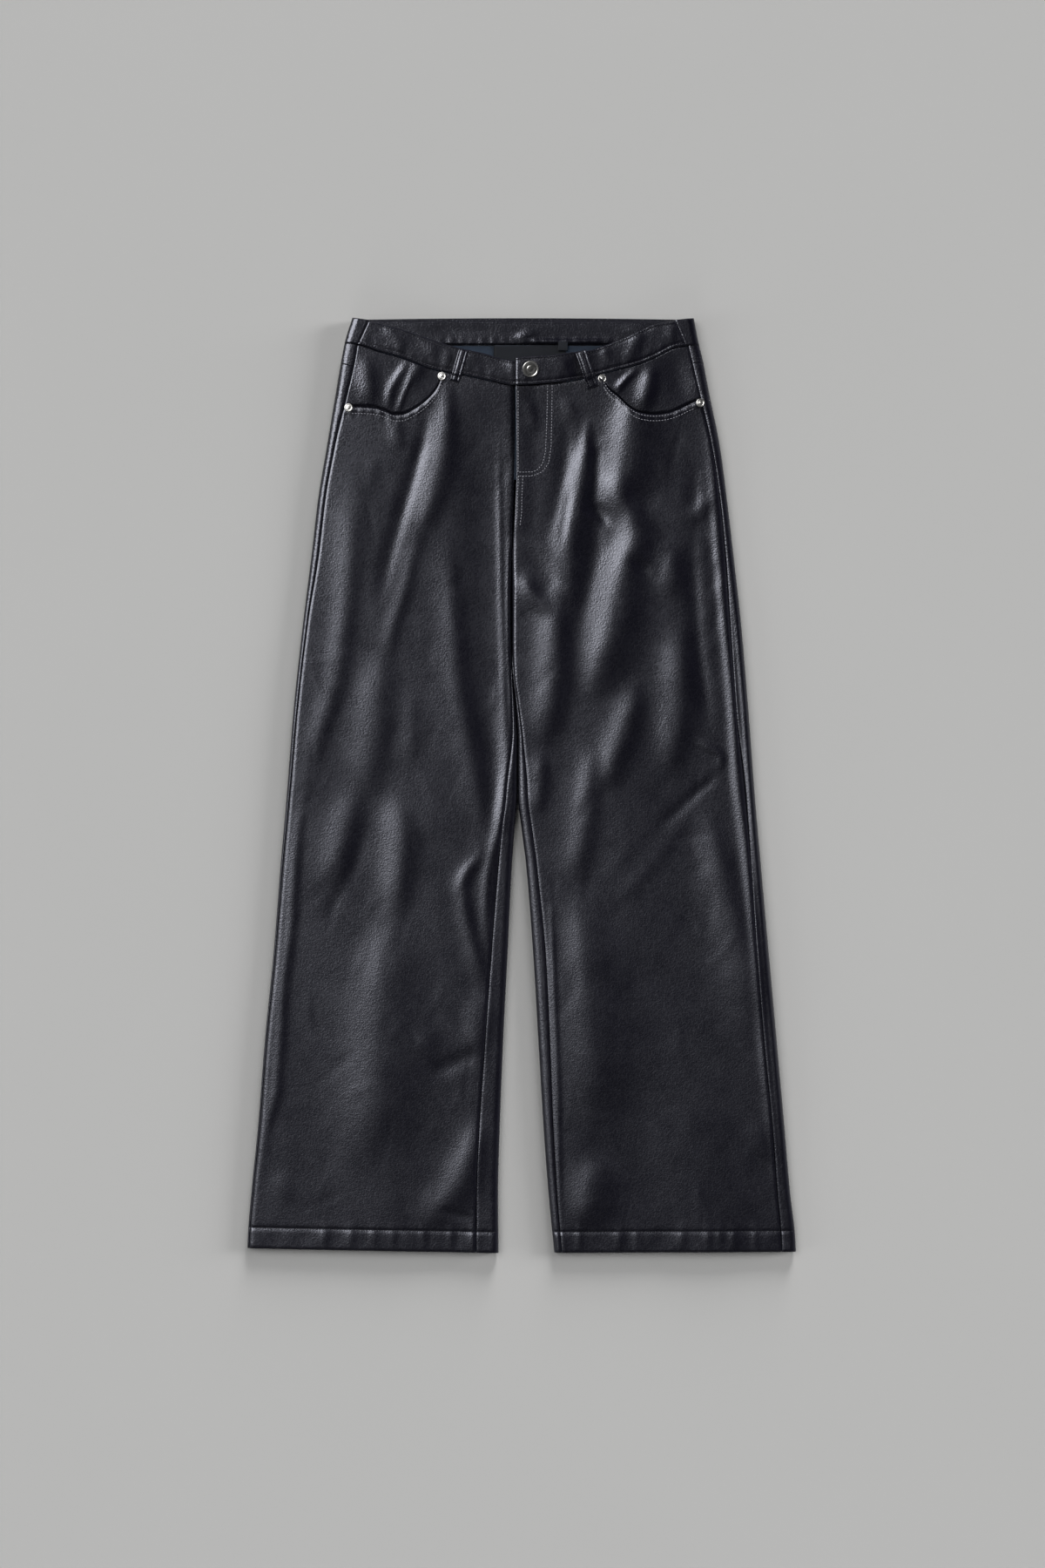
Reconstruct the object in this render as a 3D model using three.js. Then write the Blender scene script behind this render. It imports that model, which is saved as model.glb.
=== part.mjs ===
// Leather trousers laid face up on a flat surface: wide straight legs, a low front waist in front
// of a higher back waist, curved front pockets, a fly, belt loops, four rivets and a shank button.
// Millimetres. +X is the wearer's left, +Y points to the waist, +Z up from the surface they lie on.
// The origin is on that surface, under the middle of the garment.
import * as THREE from "three";

// Driving dimensions
const LENGTH = 1074; // top of the back waist to the hem
const LEATHER = 1.4; // one layer of coated leather
const HEM_LEATHER = 2.4; // the hem, turned up once and pressed
const HEM_DEPTH = 24;
const SEAM_GAP = 0.3; // between pieces that are sewn together
const BAND_GAP = 0.5; // below the waistband, where the panels are turned in
const BAND_LEATHER = 2.8; // the front waistband, folded double
const BAND_PROUD = 0.8; // how far the waistband stands above the panels
const LOOP_LEATHER = 1.6;
const TOP_ROLL = 8; // width of the rounded side fold on the upper side
const BOTTOM_ROLL = 5; // and on the underside
const BACK_LIFT = LOOP_LEATHER + SEAM_GAP; // the back waistband lies on its belt loops
const STEP_BEYOND_ROLL = 10; // millimetres of cloth for one unit of edge parameter past the roll
const SEAM_STEP = 0.02; // half a seam gap in that parameter

// The outline of the laid garment. down: distance below the back waist. For each leg, outer and
// inner are the two side folds, outseam and inseam how far each seam lies in from its fold.
const STATIONS = [
  { down: 2, rOuter: -195, rOutseam: 15, lOuter: 198, lOutseam: 14 },
  { down: 28, rOuter: -203, rOutseam: 15.5, lOuter: 203, lOutseam: 14 },
  { down: 48, rOuter: -207, rOutseam: 16, lOuter: 208, lOutseam: 14 },
  { down: 88, rOuter: -214, rOutseam: 14, lOuter: 216, lOutseam: 12.5 },
  { down: 148, rOuter: -224, rOutseam: 9.5, lOuter: 228, lOutseam: 10 },
  { down: 208, rOuter: -234, rOutseam: 8.5, lOuter: 236, lOutseam: 8.5 },
  { down: 268, rOuter: -241, rOutseam: 8.5, lOuter: 243, lOutseam: 9.5 },
  { down: 348, rOuter: -251, rOutseam: 5.5, lOuter: 252, lOutseam: 13 },
  { down: 448, rOuter: -262, rOutseam: 4.5, lOuter: 260.5, lOutseam: 14.5 },
  { down: 548, rOuter: -270, rOutseam: 3.5, lOuter: 268, lOutseam: 11 },
  { down: 628, rOuter: -277, rOutseam: 2.5, lOuter: 275, lOutseam: 12 },
  { down: 728, rOuter: -285, rOutseam: 2, lOuter: 284, lOutseam: 14.5 },
  { down: 828, rOuter: -295, rOutseam: 2, lOuter: 293, lOutseam: 15.5 },
  { down: 928, rOuter: -303, rOutseam: 2, lOuter: 302, lOutseam: 14.5 },
  { down: 1008, rOuter: -311, rOutseam: 2, lOuter: 309, lOutseam: 15.5 },
  { down: 1050, rOuter: -314.5, rOutseam: 2, lOuter: 314, lOutseam: 16.5 },
  { down: 1074, rOuter: -315.5, rOutseam: 2, lOuter: 315.5, lOutseam: 17 },
];

// The middle of the garment: the front and back centre seams, then the two inner side folds.
// edge is the height of those folds' tips, crease how far the front edges sink towards it.
const MIDDLE = [
  { down: 60, rInner: -7.2, lInner: -6.8, edge: 0, rCrease: 0.1, lCrease: 0 },
  { down: 170, rInner: -6.2, lInner: -5.8, edge: 0, rCrease: 0.1, lCrease: 0 },
  { down: 200, rInner: -7, lInner: -6.6, edge: 0, rCrease: 0.04, lCrease: 0.02 },
  { down: 236, rInner: -8.7, lInner: -8.3, edge: 0, rCrease: 0.06, lCrease: 0.08 },
  { down: 276, rInner: -11.2, lInner: -10.8, edge: 0, rCrease: 0.42, lCrease: 0.42 },
  { down: 330, rInner: -11.7, lInner: -11.3, edge: 0.8, rCrease: 0.84, lCrease: 0.84 },
  { down: 371, rInner: -11.7, lInner: -11.3, edge: 3, rCrease: 1, lCrease: 1 },
  { down: 410, rInner: -10.6, lInner: -10.2, edge: 4.2, rCrease: 1, lCrease: 1 },
  { down: 445, rInner: -7.4, lInner: -7, edge: 4.5, rCrease: 1, lCrease: 1 },
  { down: 486, rInner: -4.9, lInner: -4.5, edge: 4.5, rCrease: 1, lCrease: 1 },
  { down: 548, rInner: -5, lInner: -4.4, edge: 4.5, rCrease: 1, lCrease: 1 },
  { down: 588, rInner: -8, lInner: 0, edge: 4.5, rCrease: 1, lCrease: 1 },
  { down: 628, rInner: -11, lInner: 5, edge: 4.5, rCrease: 1, lCrease: 1 },
  { down: 728, rInner: -16, lInner: 13, edge: 4.5, rCrease: 1, lCrease: 1 },
  { down: 828, rInner: -21, lInner: 19, edge: 4.5, rCrease: 1, lCrease: 1 },
  { down: 928, rInner: -25, lInner: 25, edge: 4.5, rCrease: 1, lCrease: 1 },
  { down: 1008, rInner: -27, lInner: 31, edge: 4.5, rCrease: 1, lCrease: 1 },
  { down: 1074, rInner: -26.5, lInner: 37.5, edge: 4.5, rCrease: 1, lCrease: 1 },
];
const CROTCH = 371; // where the four leg panels meet

// Inner leg seams, as the edge parameter of sidePoint: 0 at the fold's tip, 1 at the top of the
// roll, and one more for each STEP_BEYOND_ROLL millimetres of cloth after that.
const INSEAMS = [
  { down: CROTCH, right: 0, left: 0 },
  { down: 400, right: 0.3, left: 0.3 },
  { down: 440, right: 0.75, left: 0.7 },
  { down: 486, right: 1.05, left: 1.02 },
  { down: 548, right: 1.6, left: 1.4 },
  { down: 628, right: 1.8, left: 1.4 },
  { down: 728, right: 2.1, left: 1.6 },
  { down: 828, right: 2.3, left: 1.5 },
  { down: 928, right: 2.6, left: 1.3 },
  { down: 1074, right: 2.8, left: 1.05 },
];

// Height of the front's upper surface above the floor, before its folds
const HEIGHTS = [
  { down: 0, top: 12.2 },
  { down: 76, top: 12.1 },
  { down: 120, top: 11 },
  { down: 200, top: 10.3 },
  { down: 371, top: 10 },
  { down: 900, top: 9.8 },
  { down: 1074, top: 9.8 },
];

// The largest folds: soft ridges of cloth from one point to another, with a sideways bow in the
// middle. x and down place the ends, spread is the half width and rise the height.
const FOLDS = [
  { name: "fly bulge", x: 8, down: 70, toX: 2, toDown: 200, bow: 0, spread: 44, rise: 1.5 },
  { name: "right rivet drape", x: -84, down: 84, toX: -112, toDown: 400, bow: 10, spread: 17, rise: 5.2 },
  { name: "right outer thigh", x: -172, down: 150, toX: -216, toDown: 500, bow: -14, spread: 30, rise: 3.4 },
  { name: "right inner thigh", x: -62, down: 170, toX: -70, toDown: 560, bow: 6, spread: 17, rise: 2.6 },
  { name: "right fly ridge", x: -27, down: 84, toX: -20, toDown: 500, bow: 3, spread: 8, rise: 3.2 },
  { name: "right knee outer", x: -190, down: 540, toX: -236, toDown: 720, bow: -10, spread: 22, rise: 4 },
  { name: "right knee middle", x: -140, down: 548, toX: -162, toDown: 700, bow: 8, spread: 20, rise: 3.4 },
  { name: "right knee buckle", x: -52, down: 470, toX: -66, toDown: 650, bow: -12, spread: 11, rise: 3.6 },
  { name: "right shin", x: -160, down: 740, toX: -200, toDown: 930, bow: -10, spread: 34, rise: 4.2 },
  { name: "right calf inner", x: -50, down: 790, toX: -80, toDown: 900, bow: 8, spread: 16, rise: 3 },
  { name: "right hem swell", x: -48, down: 920, toX: -92, toDown: 1030, bow: 8, spread: 24, rise: 3.4 },
  { name: "left fly streak", x: 78, down: 120, toX: 36, toDown: 290, bow: -4, spread: 14, rise: 4.6 },
  { name: "left pocket drape", x: 112, down: 104, toX: 124, toDown: 250, bow: -12, spread: 17, rise: 6 },
  { name: "left thigh buckle", x: 128, down: 236, toX: 80, toDown: 462, bow: -6, spread: 16, rise: 5.6 },
  { name: "left crotch drape", x: 34, down: 320, toX: 22, toDown: 560, bow: -6, spread: 17, rise: 4.8 },
  { name: "left knee lift", x: 122, down: 420, toX: 54, toDown: 640, bow: -10, spread: 18, rise: 4.4 },
  { name: "left outer thigh", x: 172, down: 330, toX: 170, toDown: 540, bow: 4, spread: 20, rise: 3.6 },
  { name: "left outseam ridge", x: 214, down: 110, toX: 268, toDown: 720, bow: 7, spread: 8, rise: 2.6 },
  { name: "left knee diagonal", x: 224, down: 520, toX: 96, toDown: 700, bow: 6, spread: 16, rise: 3.6 },
  { name: "left knee diagonal two", x: 246, down: 540, toX: 204, toDown: 670, bow: -6, spread: 13, rise: 3 },
  { name: "left shin inner", x: 62, down: 640, toX: 50, toDown: 860, bow: 4, spread: 22, rise: 2.6 },
  { name: "left calf outer", x: 226, down: 660, toX: 262, toDown: 900, bow: 4, spread: 20, rise: 2.6 },
  { name: "left hem swell", x: 60, down: 950, toX: 96, toDown: 1050, bow: 6, spread: 24, rise: 3.4 },
];

// Front edges and seams that run across the body, as distances below the back waist
const FRONT_WAIST_EDGE = [
  { x: -176, down: 4.5 }, { x: -139.5, down: 13.5 }, { x: -106, down: 25 }, { x: -73, down: 35.2 },
  { x: -40, down: 42.5 }, { x: -22, down: 48 }, { x: -7, down: 50.6 }, { x: -5, down: 46.8 },
  { x: 34.6, down: 43.9 }, { x: 58, down: 40.6 }, { x: 81, down: 37.6 }, { x: 95, down: 32.8 },
  { x: 117, down: 24.2 }, { x: 138, down: 14.4 }, { x: 152, down: 8.4 }, { x: 176, down: 4.5 },
];
const FRONT_WAIST_SEAM = [
  { x: -207, down: 29 }, { x: -187, down: 31.4 }, { x: -164, down: 39 }, { x: -136, down: 46.8 },
  { x: -110, down: 57.6 }, { x: -91, down: 62.4 }, { x: -66, down: 66.6 }, { x: -40, down: 72.2 },
  { x: -7, down: 78.4 }, { x: 35, down: 76 }, { x: 67, down: 71.5 }, { x: 106, down: 61.7 },
  { x: 135, down: 53.7 }, { x: 152, down: 46.8 }, { x: 179, down: 34.5 }, { x: 208, down: 31 },
];
const RIGHT_POCKET_MOUTH = [
  { x: -207, down: 106 }, { x: -193, down: 103 }, { x: -173, down: 103.7 }, { x: -158, down: 107 },
  { x: -146, down: 112 }, { x: -136, down: 111.5 }, { x: -123, down: 105.5 }, { x: -111, down: 97 },
  { x: -101, down: 87 }, { x: -94, down: 76 }, { x: -90.5, down: 66 }, { x: -88, down: 63 },
];
const LEFT_POCKET_MOUTH = [
  { x: 90, down: 66.6 }, { x: 94, down: 73 }, { x: 99, down: 81.5 }, { x: 110, down: 90.5 },
  { x: 124, down: 104 }, { x: 135, down: 110 }, { x: 151, down: 112 }, { x: 167, down: 110.3 },
  { x: 181, down: 105.5 }, { x: 198, down: 97.4 }, { x: 212, down: 93 },
];
const BACK_WAIST_DIP = 2; // how far the back waist's ends lie below its middle
const BACK_WAIST_HALF = 195;
const BACK_BAND_DEPTH = 31.5;
const FACING_LEATHER = 1.2;
const LABEL_CLOTH = 1;
const WAIST_FACING = { x: -181, toX: 183, down: 3.5, toDown: 30.5 };
const LABEL = { x: -32, toX: 51, down: 31.2, toDown: 76 };
const SIZE_TAB = { x: 42, toX: 53, down: 27, toDown: 38 };
const FLY = { x: -12.5, toX: 36, down: 80, toDown: 186 };
const UNDERLAP_X = 24; // end of the right waistband, below the left one
const OVERLAP_X = -7.4; // end of the left waistband, on top
const RIGHT_EDGE_LIMIT = -8; // on each side of the step that the overlap makes in the front edge
const LEFT_EDGE_LIMIT = -4.9;
const LEVEL_BAND = 60; // the front waistband lies level this far on each side of the middle
const UNDERLAP_RISE = 1.2; // the underlap ends this much above the left panel's top
const FRONT_LOOPS = [
  { name: "front_right", x: -66.5, down: 37.3, toX: -77, toDown: 74.2, width: 11, bow: 1 },
  { name: "front_left", x: 67.5, down: 39.8, toX: 81.9, toDown: 81.5, width: 13, bow: 1 },
];
const BACK_LOOPS = [
  { name: "back_right", x: -120 }, { name: "back_centre", x: 0 }, { name: "back_left", x: 121 },
];
const BACK_LOOP = { width: 12, down: 3, toDown: 44 };
const RIVETS = [
  { name: "right_outer", x: -198.4, down: 104, leanX: -0.06 },
  { name: "right_inner", x: -91.4, down: 68, leanX: 0 },
  { name: "left_inner", x: 92.5, down: 70.6, leanX: 0 },
  { name: "left_outer", x: 205, down: 98.5, leanX: 0.06 },
];
const RIVET_PROFILE = [
  { radius: 0, height: 0 }, { radius: 4.7, height: 0 }, { radius: 4.9, height: 0.5 },
  { radius: 4.3, height: 1.2 }, { radius: 2.9, height: 1.3 }, { radius: 2.3, height: 0.9 },
  { radius: 1.2, height: 1 }, { radius: 0, height: 1.5 },
];
const BUTTON = { x: 9.7, down: 60, leanX: 0.12, leanY: -0.3 };
const BUTTON_PROFILE = [
  { radius: 0, height: 0 }, { radius: 3, height: 0 }, { radius: 3, height: 2.6 },
  { radius: 8.8, height: 3 }, { radius: 9.4, height: 3.8 }, { radius: 9.1, height: 4.8 },
  { radius: 8.3, height: 5 }, { radius: 7.6, height: 4.4 }, { radius: 3, height: 4.1 },
  { radius: 0, height: 4.3 },
];
const BAND_SIDE_SEAM = { topX: 175.5, seamX: 188 }; // slanted, mirrored on the other side
// Back yoke seam, a shallow V on the underside with its point at the centre seam
const YOKE = { sideDown: 53, centreDown: 100, centreX: -7, halfWidth: 200 };
const HEMS = {
  right: { x: -315, down: 1068.5, toX: -26, toDown: 1074 },
  left: { x: 37, down: 1073.6, toX: 315, toDown: 1072.6 },
};

const V = (x, y, z) => new THREE.Vector3(x, y, z);
const mix = (a, b, t) => a + (b - a) * t;
const clamp01 = (t) => Math.min(1, Math.max(0, t));
const smooth = (a, b, t) => {
  const k = clamp01((t - a) / (b - a));
  return k * k * (3 - 2 * k);
};
const yAt = (down) => LENGTH / 2 - down;

// A smooth curve through the rows of a table, reading column `value` at `at` in column `key`
function curve(rows, key, value) {
  const t = rows.map((row) => row[key]);
  const v = rows.map((row) => row[value]);
  const last = t.length - 1;
  const slope = (i) => (v[i + 1] - v[i]) / (t[i + 1] - t[i]);
  const tangent = t.map((_, i) => {
    if (i === 0) return slope(0);
    if (i === last) return slope(last - 1);
    const before = slope(i - 1);
    const after = slope(i);
    return before * after <= 0 ? 0 : (2 * before * after) / (before + after);
  });
  return (at) => {
    if (at <= t[0]) return v[0] + (at - t[0]) * tangent[0];
    if (at >= t[last]) return v[last] + (at - t[last]) * tangent[last];
    let i = 0;
    while (at > t[i + 1]) i += 1;
    const span = t[i + 1] - t[i];
    const k = (at - t[i]) / span;
    const rising = k * k * (3 - 2 * k);
    const near = k * (1 - k) * (1 - k) * span;
    const far = k * k * (k - 1) * span;
    return v[i] + (v[i + 1] - v[i]) * rising + tangent[i] * near + tangent[i + 1] * far;
  };
}

// Distance down of a hem, which runs nearly straight across the leg
function hemLine(hem) {
  return (x) => mix(hem.down, hem.toDown, clamp01((x - hem.x) / (hem.toX - hem.x)));
}

const SIDES = {
  right: {
    sign: -1,
    outer: curve(STATIONS, "down", "rOuter"),
    outseam: curve(STATIONS, "down", "rOutseam"),
    inner: curve(MIDDLE, "down", "rInner"),
    crease: curve(MIDDLE, "down", "rCrease"),
    inseam: curve(INSEAMS, "down", "right"),
    mouth: curve(RIGHT_POCKET_MOUTH, "x", "down"),
    mouthEndX: -88,
    hem: hemLine(HEMS.right),
  },
  left: {
    sign: 1,
    outer: curve(STATIONS, "down", "lOuter"),
    outseam: curve(STATIONS, "down", "lOutseam"),
    inner: curve(MIDDLE, "down", "lInner"),
    crease: curve(MIDDLE, "down", "lCrease"),
    inseam: curve(INSEAMS, "down", "left"),
    mouth: curve(LEFT_POCKET_MOUTH, "x", "down"),
    mouthEndX: 90,
    hem: hemLine(HEMS.left),
  },
};
const middleEdge = curve(MIDDLE, "down", "edge");
const baseHeight = curve(HEIGHTS, "down", "top");
const waistEdge = curve(FRONT_WAIST_EDGE, "x", "down");
const waistSeam = curve(FRONT_WAIST_SEAM, "x", "down");

// Height that one fold adds at a point
function foldRise(fold, x, down) {
  const alongX = fold.toX - fold.x;
  const alongDown = fold.toDown - fold.down;
  const length = Math.hypot(alongX, alongDown);
  const t = ((x - fold.x) * alongX + (down - fold.down) * alongDown) / (length * length);
  if (t <= 0 || t >= 1) return 0;
  const aside = ((x - fold.x) * alongDown - (down - fold.down) * alongX) / length;
  const off = (aside - fold.bow * 4 * t * (1 - t)) / fold.spread;
  return fold.rise * Math.exp(-off * off) * smooth(0, 0.22, t) * smooth(0, 0.3, 1 - t);
}

function frontHeight(x, down) {
  return FOLDS.reduce((sum, fold) => sum + foldRise(fold, x, down), baseHeight(down));
}

const roll = (t) => Math.sqrt(1 - (1 - clamp01(t)) ** 2);
const outerTip = (down) => mix(4.5, 7, smooth(90, 30, down)); // height of the outer fold's tip
const backLift = (down) => BACK_LIFT * smooth(84, 48, down);
const innerRoll = (down) => mix(4.5, TOP_ROLL, smooth(CROTCH, 640, down));

function upperZ(side, x, down) {
  const top = frontHeight(x, down);
  const fromOuter = Math.abs(x - side.outer(down));
  const fromInner = Math.abs(x - side.inner(down));
  const innerTip = mix(top, middleEdge(down), clamp01(side.crease(down)));
  const outerDrop = (top - outerTip(down)) * (1 - roll(fromOuter / TOP_ROLL));
  const innerDrop = (top - innerTip) * (1 - roll(fromInner / innerRoll(down)));
  return top - outerDrop - innerDrop;
}

function lowerZ(side, x, down) {
  const fromOuter = Math.abs(x - side.outer(down));
  const fromInner = Math.abs(x - side.inner(down));
  const lift = backLift(down);
  const outerLift = (outerTip(down) - lift) * (1 - roll(fromOuter / BOTTOM_ROLL));
  return lift + outerLift + middleEdge(down) * (1 - roll(fromInner / BOTTOM_ROLL));
}

// A point of the garment's outer surface near one of its side folds. p runs round the fold:
// 0 at its tip, above 0 on the front and below 0 on the underside.
function sidePoint(side, fold, down, p) {
  const isOuter = fold === "outer";
  const upperRoll = isOuter ? TOP_ROLL : innerRoll(down);
  const width = p >= 0 ? upperRoll : BOTTOM_ROLL;
  const size = Math.abs(p);
  const inset = size <= 1
    ? width * (1 - Math.cos((size * Math.PI) / 2))
    : width + (size - 1) * STEP_BEYOND_ROLL;
  const tip = isOuter ? side.outer(down) : side.inner(down);
  const x = tip - inset * side.sign * (isOuter ? 1 : -1);
  return V(x, yAt(down), p >= 0 ? upperZ(side, x, down) : lowerZ(side, x, down));
}

const insetToP = (inset, width) => (inset >= width
  ? 1 + (inset - width) / STEP_BEYOND_ROLL
  : (2 / Math.PI) * Math.acos(1 - inset / width));
const outseamP = (side, down) => insetToP(side.outseam(down), TOP_ROLL);
const inseamP = (side, down) => (down < CROTCH ? 0 : side.inseam(down));
const overlapLift = (x) => (BAND_LEATHER + SEAM_GAP) * smooth(92, 34, x);

// The outward normal of that surface. Above the crotch front and back are apart at the middle.
function sideNormal(side, fold, down, p) {
  const STEP = 0.01;
  const apart = fold === "inner" && down < CROTCH;
  const before = apart && p >= 0 ? Math.max(p - STEP, 0.0001) : p - STEP;
  const after = apart && p < 0 ? Math.min(p + STEP, -0.0001) : p + STEP;
  const across = sidePoint(side, fold, down, after).sub(sidePoint(side, fold, down, before));
  const along = sidePoint(side, fold, down + 0.4, p).sub(sidePoint(side, fold, down - 0.4, p));
  const normal = across.cross(along).normalize();
  return normal.multiplyScalar((fold === "outer" ? 1 : -1) * side.sign);
}

// Turns a grid of { point, normal } into a closed wall. rise and depth are how far its outer and
// inner faces lie from the surface, outwards and inwards, and may differ from row to row.
function wall(grid, rise, depth) {
  const rows = grid.length;
  const columns = grid[0].length;
  const positions = [];
  const place = (sample, offset) => {
    const spot = sample.point.clone().addScaledVector(sample.normal, offset);
    positions.push(spot.x, spot.y, spot.z);
  };
  grid.forEach((row) => row.forEach((sample) => place(sample, rise(sample))));
  grid.forEach((row) => row.forEach((sample) => place(sample, -depth(sample))));
  const outer = (j, i) => j * columns + i;
  const inner = (j, i) => rows * columns + j * columns + i;
  const faces = [];
  const quad = (a, b, c, d) => faces.push(a, b, c, a, c, d);
  for (let j = 0; j < rows - 1; j += 1) {
    for (let i = 0; i < columns - 1; i += 1) {
      quad(outer(j, i), outer(j + 1, i), outer(j + 1, i + 1), outer(j, i + 1));
      quad(inner(j, i), inner(j, i + 1), inner(j + 1, i + 1), inner(j + 1, i));
    }
  }
  for (let j = 0; j < rows - 1; j += 1) {
    quad(outer(j, 0), inner(j, 0), inner(j + 1, 0), outer(j + 1, 0));
    const end = columns - 1;
    quad(outer(j, end), outer(j + 1, end), inner(j + 1, end), inner(j, end));
  }
  for (let i = 0; i < columns - 1; i += 1) {
    quad(outer(0, i), outer(0, i + 1), inner(0, i + 1), inner(0, i));
    const end = rows - 1;
    quad(outer(end, i), inner(end, i), inner(end, i + 1), outer(end, i + 1));
  }
  return facingOut(positions, faces);
}

// A geometry from points and triangles, turned so that its faces point out
function facingOut(positions, faces) {
  let volume = 0;
  const corner = (n) => V(positions[3 * n], positions[3 * n + 1], positions[3 * n + 2]);
  for (let f = 0; f < faces.length; f += 3) {
    volume += corner(faces[f]).dot(corner(faces[f + 1]).cross(corner(faces[f + 2])));
  }
  const turned = [];
  for (let f = 0; f < faces.length; f += 3) {
    if (volume >= 0) turned.push(faces[f], faces[f + 1], faces[f + 2]);
    else turned.push(faces[f], faces[f + 2], faces[f + 1]);
  }
  const geometry = new THREE.BufferGeometry();
  geometry.setAttribute("position", new THREE.Float32BufferAttribute(positions, 3));
  geometry.setIndex(turned);
  geometry.computeVertexNormals();
  return geometry;
}

const sampleSide = (side, fold, down, p) => ({
  point: sidePoint(side, fold, down, p),
  normal: sideNormal(side, fold, down, p),
  down,
});

const steps = (count) => Array.from({ length: count + 1 }, (_, i) => i / count);

// The start of each column, where `boundary` gives the distance down for an x
function settle(boundary, pointAt, start) {
  let down = start;
  for (let turn = 0; turn < 12; turn += 1) down = mix(down, boundary(pointAt(down).x), 0.7);
  return down;
}

const LEATHER_BLACK = { color: 0x17171b, roughness: 0.42, metalness: 0 };
const BACKING_NAVY = { color: 0x1b2431, roughness: 0.9, metalness: 0 };
const LABEL_SATIN = { color: 0x202228, roughness: 0.55, metalness: 0 };
const ANTIQUE_METAL = { color: 0x9a9a96, roughness: 0.32, metalness: 1 };

const trousers = new THREE.Group();
function add(name, geometry, finish) {
  const mesh = new THREE.Mesh(geometry, new THREE.MeshStandardMaterial(finish));
  mesh.name = name;
  trousers.add(mesh);
  return mesh;
}

const thicknessAt = (side) => (sample) => {
  const hemTop = side.hem(sample.point.x) - HEM_DEPTH;
  return sample.down > hemTop ? HEM_LEATHER : LEATHER;
};

// Rows of a leg panel. Front and back share the rows below MEET_DOWN, so that their seams match.
const MEET_DOWN = 130;
const LEG_ROWS = 28;
function legRows(topCount) {
  const rows = steps(topCount).map((t) => (top) => mix(top, MEET_DOWN, t));
  steps(LEG_ROWS).slice(1).forEach((t) => {
    rows.push((top, hem) => mix(MEET_DOWN, hem - HEM_DEPTH - 0.4, t));
  });
  rows.push((top, hem) => hem - HEM_DEPTH + 1.2);
  rows.push((top, hem) => hem - HEM_DEPTH / 2);
  rows.push((top, hem) => hem);
  return rows;
}

// A grid of samples from columns, each a function from a distance down to [fold, p], between a
// top and a bottom edge. rows place the samples of a column between its two ends.
function gridOf(side, columns, rows, topEdge, bottomEdge, starts) {
  const byColumn = columns.map((column) => {
    const at = (down) => sidePoint(side, column(down)[0], down, column(down)[1]);
    const top = settle(topEdge, at, starts.top);
    const bottom = settle(bottomEdge, at, starts.bottom);
    return rows.map((row) => {
      const down = row(top, bottom);
      const [fold, p] = column(down);
      return sampleSide(side, fold, down, p);
    });
  });
  return rows.map((_, j) => byColumn.map((column) => column[j]));
}
const evenRows = (count) => steps(count).map((t) => (top, bottom) => mix(top, bottom, t));

// Front leg panel, from the waistband and pocket mouth to the hem
function frontPanel(side) {
  const topEdge = (x) => {
    const inPocket = side.sign * (x - side.mouthEndX) > 0;
    return inPocket ? Math.max(side.mouth(x), waistSeam(x) + BAND_GAP) : waistSeam(x) + BAND_GAP;
  };
  const middleX = (down) => (side.outer(down) + side.inner(down)) / 2;
  const outerColumn = (t) => (down) => {
    const atMiddle = insetToP(Math.abs(middleX(down) - side.outer(down)), TOP_ROLL);
    return ["outer", mix(outseamP(side, down) + SEAM_STEP, atMiddle, t ** 1.25)];
  };
  const innerColumn = (t) => (down) => {
    const atMiddle = insetToP(Math.abs(middleX(down) - side.inner(down)), innerRoll(down));
    return ["inner", mix(inseamP(side, down) + SEAM_STEP, atMiddle, t ** 1.5)];
  };
  const columns = [
    ...steps(10).map(outerColumn),
    ...steps(8).slice(0, -1).reverse().map(innerColumn),
  ];
  const grid = gridOf(side, columns, legRows(4), topEdge, side.hem, { top: 90, bottom: 1070 });
  return wall(grid, () => 0, thicknessAt(side));
}

// Columns round the back of one half, from the outseam on the front, round the outer fold,
// across the underside and, on the leg, round the inner fold up to the inseam
function backColumns(side) {
  const outerColumns = steps(5).map((t) => (down) => [
    "outer", mix(outseamP(side, down) - SEAM_STEP, -1, t),
  ]);
  const flatColumns = steps(4).slice(1, -1).map((t) => (down) => {
    const from = side.outer(down) - side.sign * BOTTOM_ROLL;
    const to = side.inner(down) + side.sign * BOTTOM_ROLL;
    return ["outer", -insetToP(Math.abs(mix(from, to, t) - side.outer(down)), BOTTOM_ROLL)];
  });
  const innerColumns = steps(6).map((t) => (down) => [
    "inner", mix(-1, inseamP(side, down) - SEAM_STEP, t),
  ]);
  return [...outerColumns, ...flatColumns, ...innerColumns];
}

// The back waistband's lower seam, meeting the front's at the sides
const backSeam = (x) => mix(BACK_BAND_DEPTH, waistSeam(x), smooth(170, 188, Math.abs(x)));
const yokeSeam = (x) => {
  const towardsCentre = clamp01(1 - Math.abs(x - YOKE.centreX) / YOKE.halfWidth);
  return mix(YOKE.sideDown, YOKE.centreDown, towardsCentre);
};

function backPanel(side) {
  const topEdge = (x) => yokeSeam(x) + SEAM_GAP;
  const starts = { top: 80, bottom: 1070 };
  const grid = gridOf(side, backColumns(side), legRows(3), topEdge, side.hem, starts);
  return wall(grid, () => 0, thicknessAt(side));
}

function backYoke(side) {
  const starts = { top: 40, bottom: 70 };
  const topEdge = (x) => backSeam(x) + SEAM_GAP;
  const grid = gridOf(side, backColumns(side), evenRows(3), topEdge, yokeSeam, starts);
  return wall(grid, () => 0, () => LEATHER);
}

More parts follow.
